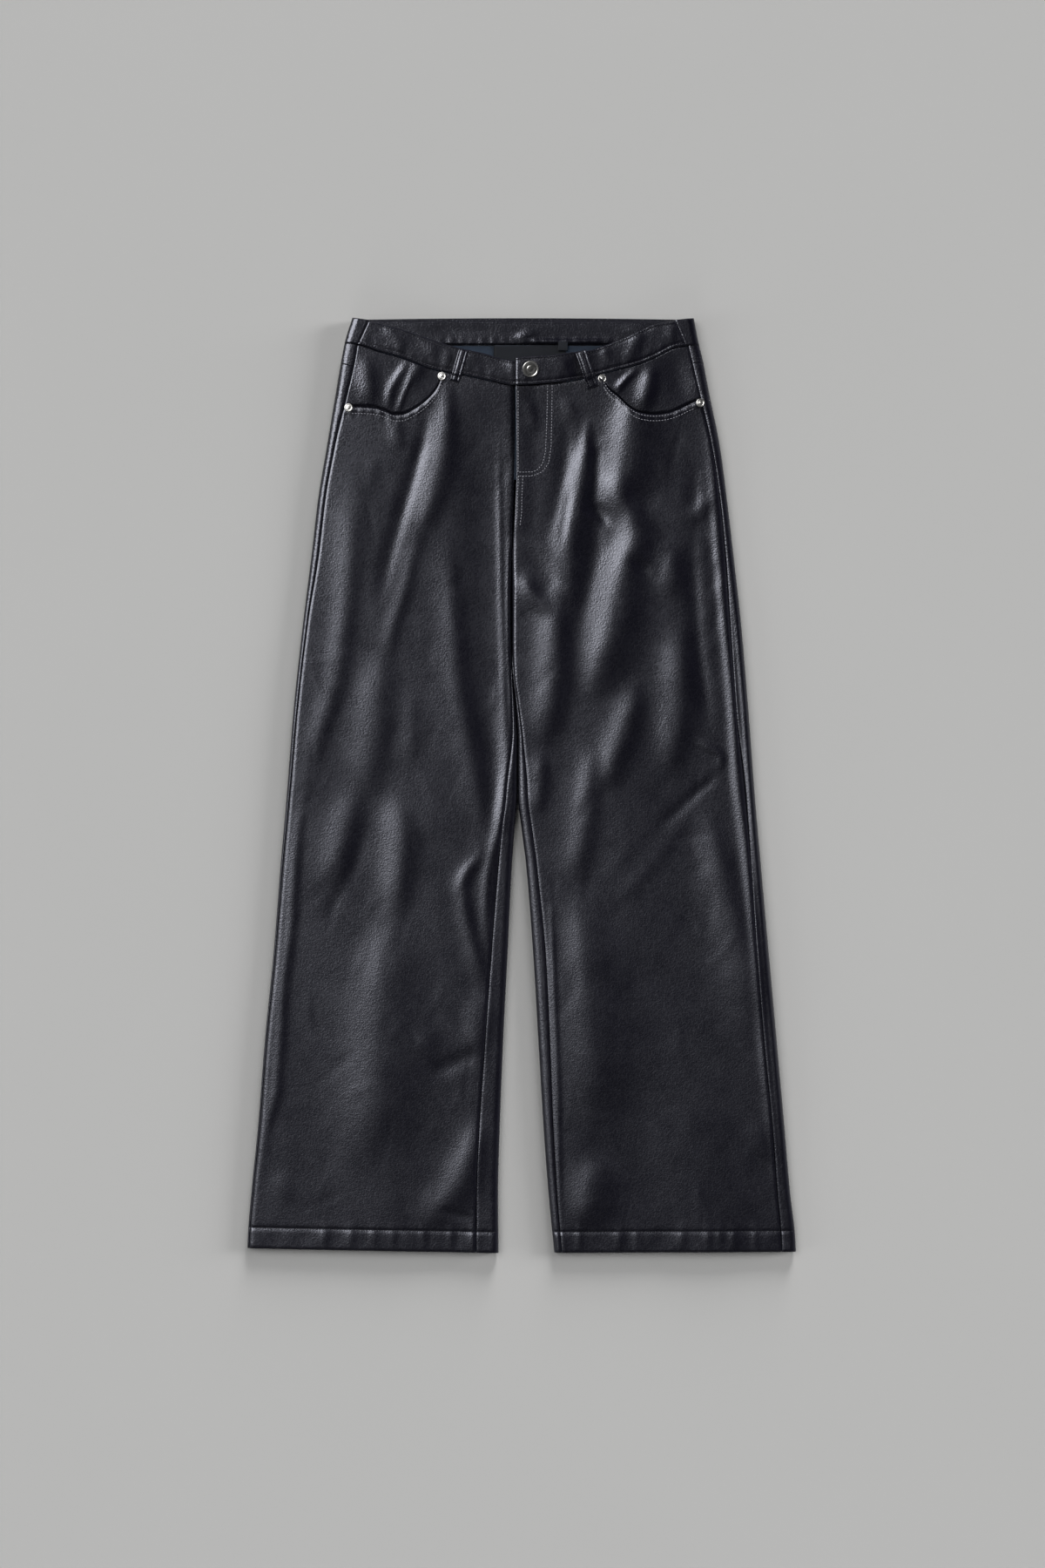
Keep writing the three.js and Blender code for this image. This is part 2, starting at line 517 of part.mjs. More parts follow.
// The panel seen inside the pocket mouth. It tucks under the front panel along the mouth.
function pocketFacing(side) {
  const TUCK = 12;
  const UNDER_PANEL = LEATHER + 0.7;
  const innerX = side.mouthEndX - side.sign * 7;
  const past = (x) => side.sign * (x - side.mouthEndX);
  const mouthDown = (x) => side.mouth(past(x) > 0 ? x : side.mouthEndX);
  const columns = steps(12).map((t) => (down) => {
    const p = outseamP(side, down) + SEAM_STEP;
    const x = mix(sidePoint(side, "outer", down, p).x, innerX, t);
    return ["outer", insetToP(Math.abs(x - side.outer(down)), TOP_ROLL)];
  });
  const topEdge = (x) => waistSeam(x) + BAND_GAP;
  const bottomEdge = (x) => mouthDown(x) + TUCK;
  const starts = { top: 50, bottom: 100 };
  const grid = gridOf(side, columns, evenRows(8), topEdge, bottomEdge, starts);
  const sink = (sample) => {
    const open = smooth(4, 18, mouthDown(sample.point.x) - sample.down);
    return mix(UNDER_PANEL, 0.3, open * smooth(4, 20, past(sample.point.x)));
  };
  return wall(grid, (sample) => -sink(sample), (sample) => sink(sample) + LEATHER);
}

// Front waistband, from its slanted side seam to its end at the centre front. The wearer's left
// one laps over the right one, which runs on underneath as an underlap.
function frontBand(side, endX, edgeLimit, lift) {
  const grid = steps(3).map((v) => steps(16).map((u) => {
    const topX = mix(side.sign * (BAND_SIDE_SEAM.topX - SEAM_GAP), endX, u);
    const seamX = mix(side.sign * (BAND_SIDE_SEAM.seamX - SEAM_GAP), endX, u);
    const edgeAt = (x) => (side.sign > 0 ? Math.max(x, edgeLimit) : Math.min(x, edgeLimit));
    const lower = Math.min(waistSeam(edgeAt(seamX)), waistSeam(seamX) - underSeam(side, seamX));
    const down = mix(waistEdge(edgeAt(topX)), lower, v);
    const x = mix(topX, seamX, v);
    const inset = Math.abs(x - side.outer(down));
    const sample = sampleSide(side, "outer", down, insetToP(inset, TOP_ROLL));
    if (Math.abs(x) < LEVEL_BAND) sample.normal = V(0, 0, 1);
    sample.point.z = frontHeight(x, down) + lift(x) - edgeDrop(side, x, down);
    return sample;
  }));
  return wall(grid, () => BAND_PROUD, () => BAND_LEATHER - BAND_PROUD);
}
const underSeam = (side, x) => (side.sign < 0 && x > RIGHT_EDGE_LIMIT ? UNDERLAP_RISE : 0);
const edgeDrop = (side, x, down) => (frontHeight(x, down) - outerTip(down))
  * (1 - roll(Math.abs(x - side.outer(down)) / TOP_ROLL));

// Back waistband, from one side seam on the front, round the back, to the other
function backBand() {
  const frontShare = (side, t) => (v) => {
    const x = side.sign * mix(BAND_SIDE_SEAM.topX, BAND_SIDE_SEAM.seamX, v);
    return (down) => mix(insetToP(Math.abs(x - side.outer(down)), TOP_ROLL), -1, t);
  };
  const columns = [];
  const wrap = [0, 0.3, 0.52, 0.7, 0.85, 1]; // shares of the way round a side
  wrap.forEach((t) => columns.push({ side: SIDES.right, pAt: frontShare(SIDES.right, t) }));
  steps(8).slice(1, -1).forEach((t) => {
    const side = t < 0.5 ? SIDES.right : SIDES.left;
    columns.push({
      side,
      pAt: () => (down) => {
        const from = SIDES.right.outer(down) + BOTTOM_ROLL;
        const to = SIDES.left.outer(down) - BOTTOM_ROLL;
        return -insetToP(Math.abs(mix(from, to, t) - side.outer(down)), BOTTOM_ROLL);
      },
    });
  });
  [...wrap].reverse().forEach((t) => {
    columns.push({ side: SIDES.left, pAt: frontShare(SIDES.left, t) });
  });
  const grid = steps(2).map((v) => columns.map(({ side, pAt }) => {
    const middle = mix(2, BACK_BAND_DEPTH - 2, v);
    const x = sidePoint(side, "outer", middle, pAt(v)(middle)).x;
    const onFront = pAt(v)(middle) > 0;
    const top = onFront ? mix(waistEdge(x), 1.5, 0.4) : BACK_WAIST_DIP * (x / BACK_WAIST_HALF) ** 2;
    const bottom = backSeam(x);
    const down = mix(top, bottom, v);
    const sample = sampleSide(side, "outer", down, pAt(v)(down));
    sample.proud = BAND_PROUD * smooth(-0.9, 0.2, pAt(v)(down));
    return sample;
  }));
  return wall(grid, (sample) => sample.proud, () => LEATHER);
}

// A plain rectangle of cloth on the inside of the back, lying level
function layer(box, undersideZ, thickness, columns, rows) {
  const grid = steps(rows).map((v) => steps(columns).map((u) => ({
    point: V(mix(box.x, box.toX, u), yAt(mix(box.down, box.toDown, v)), undersideZ),
    normal: V(0, 0, 1),
  })));
  return wall(grid, () => thickness, () => 0);
}

// The fly's underlay, a panel below both front edges
function flyShield() {
  const SINK = LEATHER + 0.85;
  const grid = steps(8).map((v) => steps(4).map((u) => {
    const down = mix(FLY.down, FLY.toDown, v);
    const x = mix(FLY.x, FLY.toX, u);
    return { point: V(x, yAt(down), frontHeight(x, down) - SINK), normal: V(0, 0, 1) };
  }));
  return wall(grid, () => 0, () => LEATHER);
}

// Height of the built pieces below a point, from above
const below = new THREE.Raycaster();
function heightOn(meshes, x, y) {
  below.set(V(x, y, 100), V(0, 0, -1));
  const hits = below.intersectObjects(meshes, false);
  return hits.length > 0 ? hits[0].point.z : 0;
}

// A belt loop lying on the band and panel, its middle bowed up. It clears the highest point that
// FEELERS find along it and across its width.
const FEELERS = { along: [-6, -3, 0, 3, 6], across: [-0.5, 0, 0.5] };
function frontLoop(loop, meshes) {
  const along = V(loop.toX - loop.x, -(loop.toDown - loop.down), 0);
  const across = V(-along.y, along.x, 0).normalize();
  const start = V(loop.x, yAt(loop.down), 0);
  const grid = steps(8).map((v) => steps(2).map((u) => {
    const point = start.clone().addScaledVector(along, v);
    point.addScaledVector(across, (u - 0.5) * loop.width);
    const felt = FEELERS.along.flatMap((dy) => FEELERS.across
      .map((share) => heightOn(meshes, point.x + share * loop.width, point.y + dy)));
    point.z = Math.max(...felt) + SEAM_GAP + loop.bow * 4 * v * (1 - v);
    return { point, normal: V(0, 0, 1) };
  }));
  return wall(grid, () => LOOP_LEATHER, () => 0);
}

// A turned piece of hardware standing on the pieces below it, leaning as they do
function turned(profile, spot, meshes, lean, reach) {
  const outline = profile.map((row) => new THREE.Vector2(row.radius, row.height));
  const geometry = new THREE.LatheGeometry(outline, 28);
  geometry.rotateX(Math.PI / 2);
  const tilt = new THREE.Quaternion().setFromUnitVectors(V(0, 0, 1), lean.clone().normalize());
  geometry.applyQuaternion(tilt);
  const y = yAt(spot.down);
  const ring = steps(12).map((t) => 2 * Math.PI * t);
  const clearances = [0, 0.5, 1].flatMap((share) => ring.map((angle) => {
    const dx = reach * share * Math.cos(angle);
    const dy = reach * share * Math.sin(angle);
    const rim = (-dx * lean.x - dy * lean.y) / lean.z;
    return heightOn(meshes, spot.x + dx, y + dy) - rim;
  }));
  geometry.translate(spot.x, y, Math.max(...clearances) + SEAM_GAP / 2);
  geometry.computeVertexNormals();
  return geometry;
}

// Assembly
const built = {};
["right", "left"].forEach((name) => {
  const side = SIDES[name];
  built[`front_${name}_panel`] = add(`front_${name}_panel`, frontPanel(side), LEATHER_BLACK);
  built[`back_${name}_panel`] = add(`back_${name}_panel`, backPanel(side), LEATHER_BLACK);
  built[`back_${name}_yoke`] = add(`back_${name}_yoke`, backYoke(side), LEATHER_BLACK);
  built[`${name}_facing`] = add(`${name}_pocket_facing`, pocketFacing(side), LEATHER_BLACK);
});
add("fly_shield", flyShield(), BACKING_NAVY);

const rightBand = frontBand(SIDES.right, UNDERLAP_X, RIGHT_EDGE_LIMIT, () => 0);
const leftBand = frontBand(SIDES.left, OVERLAP_X, LEFT_EDGE_LIMIT, overlapLift);
built.rightBand = add("waistband_front_right", rightBand, LEATHER_BLACK);
built.leftBand = add("waistband_front_left", leftBand, LEATHER_BLACK);
add("waistband_back", backBand(), LEATHER_BLACK);

const onBackBand = BACK_LIFT + LEATHER + SEAM_GAP;
add("back_waist_facing", layer(WAIST_FACING, onBackBand, FACING_LEATHER, 12, 2), LEATHER_BLACK);
add("waist_label", layer(LABEL, onBackBand, LABEL_CLOTH, 4, 2), LABEL_SATIN);
const onFacing = onBackBand + FACING_LEATHER + SEAM_GAP;
add("size_tab", layer(SIZE_TAB, onFacing, LABEL_CLOTH, 1, 2), LABEL_SATIN);

const frontMeshes = Object.values(built);
FRONT_LOOPS.forEach((loop) => {
  add(`belt_loop_${loop.name}`, frontLoop(loop, frontMeshes), LEATHER_BLACK);
});
BACK_LOOPS.forEach((loop) => {
  const half = BACK_LOOP.width / 2;
  const { down, toDown } = BACK_LOOP;
  const strip = { x: loop.x - half, toX: loop.x + half, down, toDown };
  add(`belt_loop_${loop.name}`, layer(strip, 0, LOOP_LEATHER, 1, 2), LEATHER_BLACK);
});
RIVETS.forEach((rivet) => {
  const lean = V(rivet.leanX, 0, 1);
  add(`rivet_${rivet.name}`, turned(RIVET_PROFILE, rivet, frontMeshes, lean, 5), ANTIQUE_METAL);
});
const buttonLean = V(BUTTON.leanX, BUTTON.leanY, 1);
add("waist_button", turned(BUTTON_PROFILE, BUTTON, frontMeshes, buttonLean, 3), ANTIQUE_METAL);

export default trousers;
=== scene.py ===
# %% [markdown]
# # Black leather trousers, laid flat
# This scene dresses a plain CAD model of a pair of wide leather trousers. The garment lies face up
# on a pale floor and is seen from straight above. Every cloth piece of the CAD model is replaced
# by a finer sheet of the same form, with its folds, turned edges and stitches. All tables are in
# millimetres: x to the wearer's left, "down" from the top of the back waist towards the hems.

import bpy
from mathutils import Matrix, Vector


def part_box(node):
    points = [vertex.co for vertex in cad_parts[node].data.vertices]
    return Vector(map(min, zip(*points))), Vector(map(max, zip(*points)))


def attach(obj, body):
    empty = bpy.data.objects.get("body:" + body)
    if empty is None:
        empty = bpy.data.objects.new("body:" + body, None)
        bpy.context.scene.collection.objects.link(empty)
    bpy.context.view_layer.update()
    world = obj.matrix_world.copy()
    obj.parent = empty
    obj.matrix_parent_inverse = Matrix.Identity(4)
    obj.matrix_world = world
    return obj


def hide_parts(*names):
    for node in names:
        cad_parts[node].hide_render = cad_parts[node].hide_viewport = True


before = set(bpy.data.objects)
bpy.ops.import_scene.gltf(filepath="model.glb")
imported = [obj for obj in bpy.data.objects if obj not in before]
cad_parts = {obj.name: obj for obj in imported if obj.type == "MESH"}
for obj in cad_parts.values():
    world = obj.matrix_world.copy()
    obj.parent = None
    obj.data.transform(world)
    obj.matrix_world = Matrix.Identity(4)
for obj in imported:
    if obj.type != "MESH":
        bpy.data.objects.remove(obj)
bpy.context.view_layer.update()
print("nodes in the frame:", len(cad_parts))

# %% [markdown]
# ## Libraries and sizes
# NumPy works out where points go, bmesh makes the meshes, and a ray cast tree finds the height of
# whatever lies below a stitch or a belt loop. The sizes are the garment's own: how thick the
# leather is, how deep the hem is turned, and how far the leather rolls over at a side fold.

# %% Libraries and sizes
import math
import random

import bmesh
import bpy
import numpy as np
from mathutils import Matrix, Vector
from mathutils.bvhtree import BVHTree

MM = 0.001
LENGTH = 1074.0
LEATHER = 1.4
HEM_LEATHER = 2.4
HEM_DEPTH = 24.0
SEAM_GAP = 0.3
BAND_GAP = 0.5
BAND_LEATHER = 2.8
BAND_PROUD = 0.8
LOOP_LEATHER = 1.6
TOP_ROLL = 8.0
BOTTOM_ROLL = 5.0
BACK_LIFT = LOOP_LEATHER + SEAM_GAP
STEP_BEYOND_ROLL = 10.0
SEAM_STEP = 0.02
CROTCH = 371.0
print("leather", LEATHER, "mm, at the hem", HEM_LEATHER, "mm, whole length", LENGTH, "mm")

# %% [markdown]
# ## The outline as tables
# A laid garment is drawn best by its two side folds and its seams, read off at a few heights.
# Each table has named columns, and a smooth curve runs through its rows. The CAD model uses the
# same rows, so the fine cloth lies exactly on its solids.

# %% The sides and their outer seams
def table(names, rows):
    columns = np.array(rows, float).T
    return dict(zip(names.split(), columns))


STATIONS = table(
    "down right_outer right_outseam left_outer left_outseam",
    [
        (2, -195, 15, 198, 14),
        (28, -203, 15.5, 203, 14),
        (48, -207, 16, 208, 14),
        (88, -214, 14, 216, 12.5),
        (148, -224, 9.5, 228, 10),
        (208, -234, 8.5, 236, 8.5),
        (268, -241, 8.5, 243, 9.5),
        (348, -251, 5.5, 252, 13),
        (448, -262, 4.5, 260.5, 14.5),
        (548, -270, 3.5, 268, 11),
        (628, -277, 2.5, 275, 12),
        (728, -285, 2, 284, 14.5),
        (828, -295, 2, 293, 15.5),
        (928, -303, 2, 302, 14.5),
        (1008, -311, 2, 309, 15.5),
        (1050, -314.5, 2, 314, 16.5),
        (1074, -315.5, 2, 315.5, 17),
    ],
)
print("the sides are read at", len(STATIONS["down"]), "heights")

# %% The middle and the inner seams
MIDDLE = table(
    "down right_inner left_inner edge right_crease left_crease",
    [
        (60, -7.2, -6.8, 0, 0.1, 0),
        (170, -6.2, -5.8, 0, 0.1, 0),
        (200, -7, -6.6, 0, 0.04, 0.02),
        (236, -8.7, -8.3, 0, 0.06, 0.08),
        (276, -11.2, -10.8, 0, 0.42, 0.42),
        (330, -11.7, -11.3, 0.8, 0.84, 0.84),
        (371, -11.7, -11.3, 3, 1, 1),
        (410, -10.6, -10.2, 4.2, 1, 1),
        (445, -7.4, -7, 4.5, 1, 1),
        (486, -4.9, -4.5, 4.5, 1, 1),
        (548, -5, -4.4, 4.5, 1, 1),
        (588, -8, 0, 4.5, 1, 1),
        (628, -11, 5, 4.5, 1, 1),
        (728, -16, 13, 4.5, 1, 1),
        (828, -21, 19, 4.5, 1, 1),
        (928, -25, 25, 4.5, 1, 1),
        (1008, -27, 31, 4.5, 1, 1),
        (1074, -26.5, 37.5, 4.5, 1, 1),
    ],
)
INSEAMS = table(
    "down right left",
    [
        (CROTCH, 0, 0),
        (400, 0.3, 0.3),
        (440, 0.75, 0.7),
        (486, 1.05, 1.02),
        (548, 1.6, 1.4),
        (628, 1.8, 1.4),
        (728, 2.1, 1.6),
        (828, 2.3, 1.5),
        (928, 2.6, 1.3),
        (1074, 2.8, 1.05),
    ],
)
HEIGHTS = table(
    "down top", [(0, 12.2), (76, 12.1), (120, 11), (200, 10.3), (371, 10), (900, 9.8), (1074, 9.8)]
)
print("the middle is read at", len(MIDDLE["down"]), "heights")

# %% The waist edge and its seam
FRONT_EDGE = table(
    "x down",
    [
        (-176, 4.5), (-139.5, 13.5), (-106, 25), (-73, 35.2), (-40, 42.5), (-22, 48),
        (-7, 50.6), (-5, 46.8), (34.6, 43.9), (58, 40.6), (81, 37.6), (95, 32.8),
        (117, 24.2), (138, 14.4), (152, 8.4), (176, 4.5),
    ],
)
FRONT_SEAM = table(
    "x down",
    [
        (-207, 29), (-187, 31.4), (-164, 39), (-136, 46.8), (-110, 57.6), (-91, 62.4),
        (-66, 66.6), (-40, 72.2), (-7, 78.4), (35, 76), (67, 71.5), (106, 61.7),
        (135, 53.7), (152, 46.8), (179, 34.5), (208, 31),
    ],
)
print("waist edge reads", len(FRONT_EDGE["x"]), "rows, its seam", len(FRONT_SEAM["x"]))

# %% The pocket mouths, the hems and the ends of the band
POCKET_MOUTHS = {
    "right": table(
        "x down",
        [
            (-207, 106), (-193, 103), (-173, 103.7), (-158, 107), (-146, 112), (-136, 111.5),
            (-123, 105.5), (-111, 97), (-101, 87), (-94, 76), (-90.5, 66), (-88, 63),
        ],
    ),
    "left": table(
        "x down",
        [
            (90, 66.6), (94, 73), (99, 81.5), (110, 90.5), (124, 104), (135, 110),
            (151, 112), (167, 110.3), (181, 105.5), (198, 97.4), (212, 93),
        ],
    ),
}
HEM_LINES = {
    "right": {"x": -315, "down": 1068.5, "to_x": -26, "to_down": 1074},
    "left": {"x": 37, "down": 1073.6, "to_x": 315, "to_down": 1072.6},
}
MOUTH_END = {"right": -88.0, "left": 90.0}
BAND_SIDE_TOP = 175.5
BAND_SIDE_SEAM = 188.0
BACK_BAND_DEPTH = 31.5
print("mouth rows:", {name: len(mouth["x"]) for name, mouth in POCKET_MOUTHS.items()})


# %% A smooth curve through a table's rows
def curve(at, values):
    """A smooth curve through a table's rows, as a function of arrays."""
    slopes = np.diff(values) / np.diff(at)
    tangents = np.empty(len(at))
    tangents[0], tangents[-1] = slopes[0], slopes[-1]
    before, after = slopes[:-1], slopes[1:]
    same = before * after > 0
    total = np.where(same, before + after, 1.0)
    tangents[1:-1] = np.where(same, 2 * before * after / total, 0.0)

    def read(position):
        position = np.asarray(position, float)
        i = np.clip(np.searchsorted(at, position, side="right") - 1, 0, len(at) - 2)
        span = at[i + 1] - at[i]
        k = np.clip((position - at[i]) / span, 0, 1)
        rising = k * k * (3 - 2 * k)
        near = k * (1 - k) ** 2 * span
        far = k * k * (k - 1) * span
        inside = values[i] + (values[i + 1] - values[i]) * rising
        inside = inside + tangents[i] * near + tangents[i + 1] * far
        low = np.minimum(position - at[0], 0) * tangents[0]
        high = np.maximum(position - at[-1], 0) * tangents[-1]
        return inside + low + high

    return read


# %% Blends, and the curves of the outline
def blend(a, b, share):
    return a + (b - a) * share


def ease(low, high, value):
    k = np.clip((value - low) / (high - low), 0, 1)
    return k * k * (3 - 2 * k)


def bell(distance, width):
    return np.exp(-((distance / width) ** 2))


front_edge = curve(FRONT_EDGE["x"], FRONT_EDGE["down"])
front_seam = curve(FRONT_SEAM["x"], FRONT_SEAM["down"])
base_height = curve(HEIGHTS["down"], HEIGHTS["top"])
middle_edge = curve(MIDDLE["down"], MIDDLE["edge"])
print("front stands", round(float(base_height(600)), 1), "mm high at the knee")


# %% The two halves of the garment
def hem_line(side_name):
    line = HEM_LINES[side_name]

    def down_at(x):
        share = np.clip((x - line["x"]) / (line["to_x"] - line["x"]), 0, 1)
        return blend(line["down"], line["to_down"], share)

    return down_at


class Side:
    """One half of the garment, with its outline as curves."""

    def __init__(self, name, sign):
        self.name, self.sign = name, sign
        self.outer = curve(STATIONS["down"], STATIONS[name + "_outer"])
        self.outseam = curve(STATIONS["down"], STATIONS[name + "_outseam"])
        self.inner = curve(MIDDLE["down"], MIDDLE[name + "_inner"])
        self.crease = curve(MIDDLE["down"], MIDDLE[name + "_crease"])
        self.inseam_curve = curve(INSEAMS["down"], INSEAMS[name])
        self.mouth = curve(POCKET_MOUTHS[name]["x"], POCKET_MOUTHS[name]["down"])
        self.mouth_end = MOUTH_END[name]
        self.hem = hem_line(name)

    def inseam(self, down):
        return np.where(down < CROTCH, 0.0, self.inseam_curve(down))

    def past_mouth(self, x):
        return self.sign * (x - self.mouth_end)


RIGHT, LEFT = Side("right", -1), Side("left", 1)
print("outline curves ready for", RIGHT.name, "and", LEFT.name)

# %% [markdown]
# ## The folds
# Leather that lies flat keeps soft ridges where it was bent in wear and where it hangs from the
# waist and the knees. They could be simulated, but then they would fall at random. Here each fold
# of the photograph is placed as a line with a width and a height, and the cloth rises over it as a
# soft bell. A negative height is a trough. The lines follow the lit side of each ridge, so the
# crest is shifted a little away from the window light on the left. A fourth number in a row widens
# the side away from the window, for the broad soft shade of the shins.

# %% Folds of the right leg
# name, rise, [(x, down, half width and, where it differs, half width of the far side), ...]
RIGHT_FOLDS = [
    ("rivet drape", 2.2, [(-90, 76, 6), (-93, 105, 9), (-97, 138, 12), (-105, 178, 14),
                          (-116, 215, 13), (-128, 258, 10)]),
    ("rivet drape line", 1.0, [(-124, 240, 8), (-133, 280, 8), (-142, 318, 8), (-154, 355, 8),
                               (-164, 400, 9)]),
    ("thigh patch", 2.5, [(-172, 390, 12), (-180, 430, 18), (-186, 475, 21), (-192, 520, 19),
                          (-198, 555, 15)]),
    ("rivet trough", -1.3, [(-112, 105, 5), (-118, 138, 6), (-128, 175, 7), (-145, 226, 8),
                            (-159, 276, 8), (-170, 330, 7)]),
    ("pocket glow", 1.0, [(-152, 118, 6), (-150, 133, 8), (-147, 150, 7)]),
    ("front crown", 1.5, [(-96, 255, 9), (-90, 310, 11), (-87, 360, 12), (-84, 410, 12),
                          (-78, 455, 13), (-69, 500, 13), (-59, 545, 11), (-52, 590, 9)]),
    ("front valley", -4.0, [(-58, 92, 22, 30), (-59, 150, 26, 34), (-61, 220, 29, 36),
                            (-62, 300, 30, 36), (-61, 380, 29, 34), (-54, 440, 24, 28),
                            (-46, 495, 18, 20), (-41, 545, 13, 14), (-37, 600, 9, 9)]),
    ("fly ridge", 0.55, [(-16, 250, 3), (-17, 290, 3.5), (-17, 377, 3.5), (-14, 438, 4),
                         (-12, 485, 4)]),
    ("fly thin ridge", 0.6, [(-28, 135, 2.5), (-28, 196, 3), (-27, 260, 3), (-26, 330, 3),
                             (-24, 400, 3.5), (-22, 460, 3.5), (-19, 510, 3.5)]),
    ("inner soft ridge", 0.8, [(-32, 400, 7), (-30, 450, 8), (-26, 499, 8), (-28, 543, 8),
                               (-34, 612, 8)]),
    ("outer thigh", 1.5, [(-199, 190, 12), (-205, 235, 13), (-209, 295, 13), (-211, 335, 12),
                          (-217, 375, 12), (-222, 415, 12), (-233, 455, 11), (-246, 500, 10),
                          (-250, 540, 9)]),
    ("thigh middle", 0.8, [(-137, 430, 9), (-135, 475, 10), (-137, 515, 9)]),
    ("knee outer", 2.9, [(-206, 545, 14), (-214, 580, 17), (-221, 615, 17), (-231, 655, 14)]),
    ("knee outer trough", -0.7, [(-186, 575, 8), (-196, 615, 9), (-212, 655, 9), (-235, 695, 9)]),
    ("knee middle", 3.1, [(-158, 552, 12), (-152, 590, 17), (-154, 640, 16), (-156, 690, 13)]),
    ("knee wedge", -0.6, [(-128, 596, 8), (-102, 622, 11), (-82, 655, 12)]),
    ("shin patch", 4.1, [(-163, 680, 14, 24), (-172, 735, 20, 32), (-180, 795, 26, 40),
                         (-184, 855, 28, 42), (-190, 915, 26, 38), (-200, 970, 18, 26)]),
    ("knee break", 1.7, [(-52, 598, 8), (-56, 621, 7), (-70, 639, 7), (-75, 660, 8),
                         (-68, 700, 8), (-57, 742, 8), (-45, 778, 8)]),
    ("shin inner", 2.0, [(-56, 775, 12), (-60, 815, 14), (-66, 850, 12)]),
    ("knee inner", 1.4, [(-21, 510, 5), (-30, 578, 6), (-42, 629, 6), (-46, 670, 6),
                         (-44, 735, 6)]),
    ("side roll light", 1.2, [(-250, 535, 5), (-259, 575, 6), (-264, 615, 6), (-267, 655, 6),
                              (-269, 695, 6), (-274, 735, 6), (-279, 775, 6), (-281, 815, 6),
                              (-284, 855, 6), (-288, 895, 6), (-297, 935, 5), (-302, 985, 5)]),
    ("shin diagonal trough", -1.2, [(-60, 842, 8), (-85, 856, 10), (-112, 868, 9)]),
    ("shin middle patch", 1.1, [(-123, 815, 12), (-121, 850, 12)]),
    ("hem swell", 3.3, [(-62, 924, 12), (-72, 964, 16), (-90, 1002, 19), (-110, 1028, 17),
                        (-122, 1042, 12)]),
    ("hem dark streak", -0.8, [(-100, 1024, 5), (-80, 1029, 5), (-62, 1034, 5)]),
    ("hem corner", 1.0, [(-284, 985, 9), (-278, 1012, 10)]),
]
print("folds of the right leg:", len(RIGHT_FOLDS))

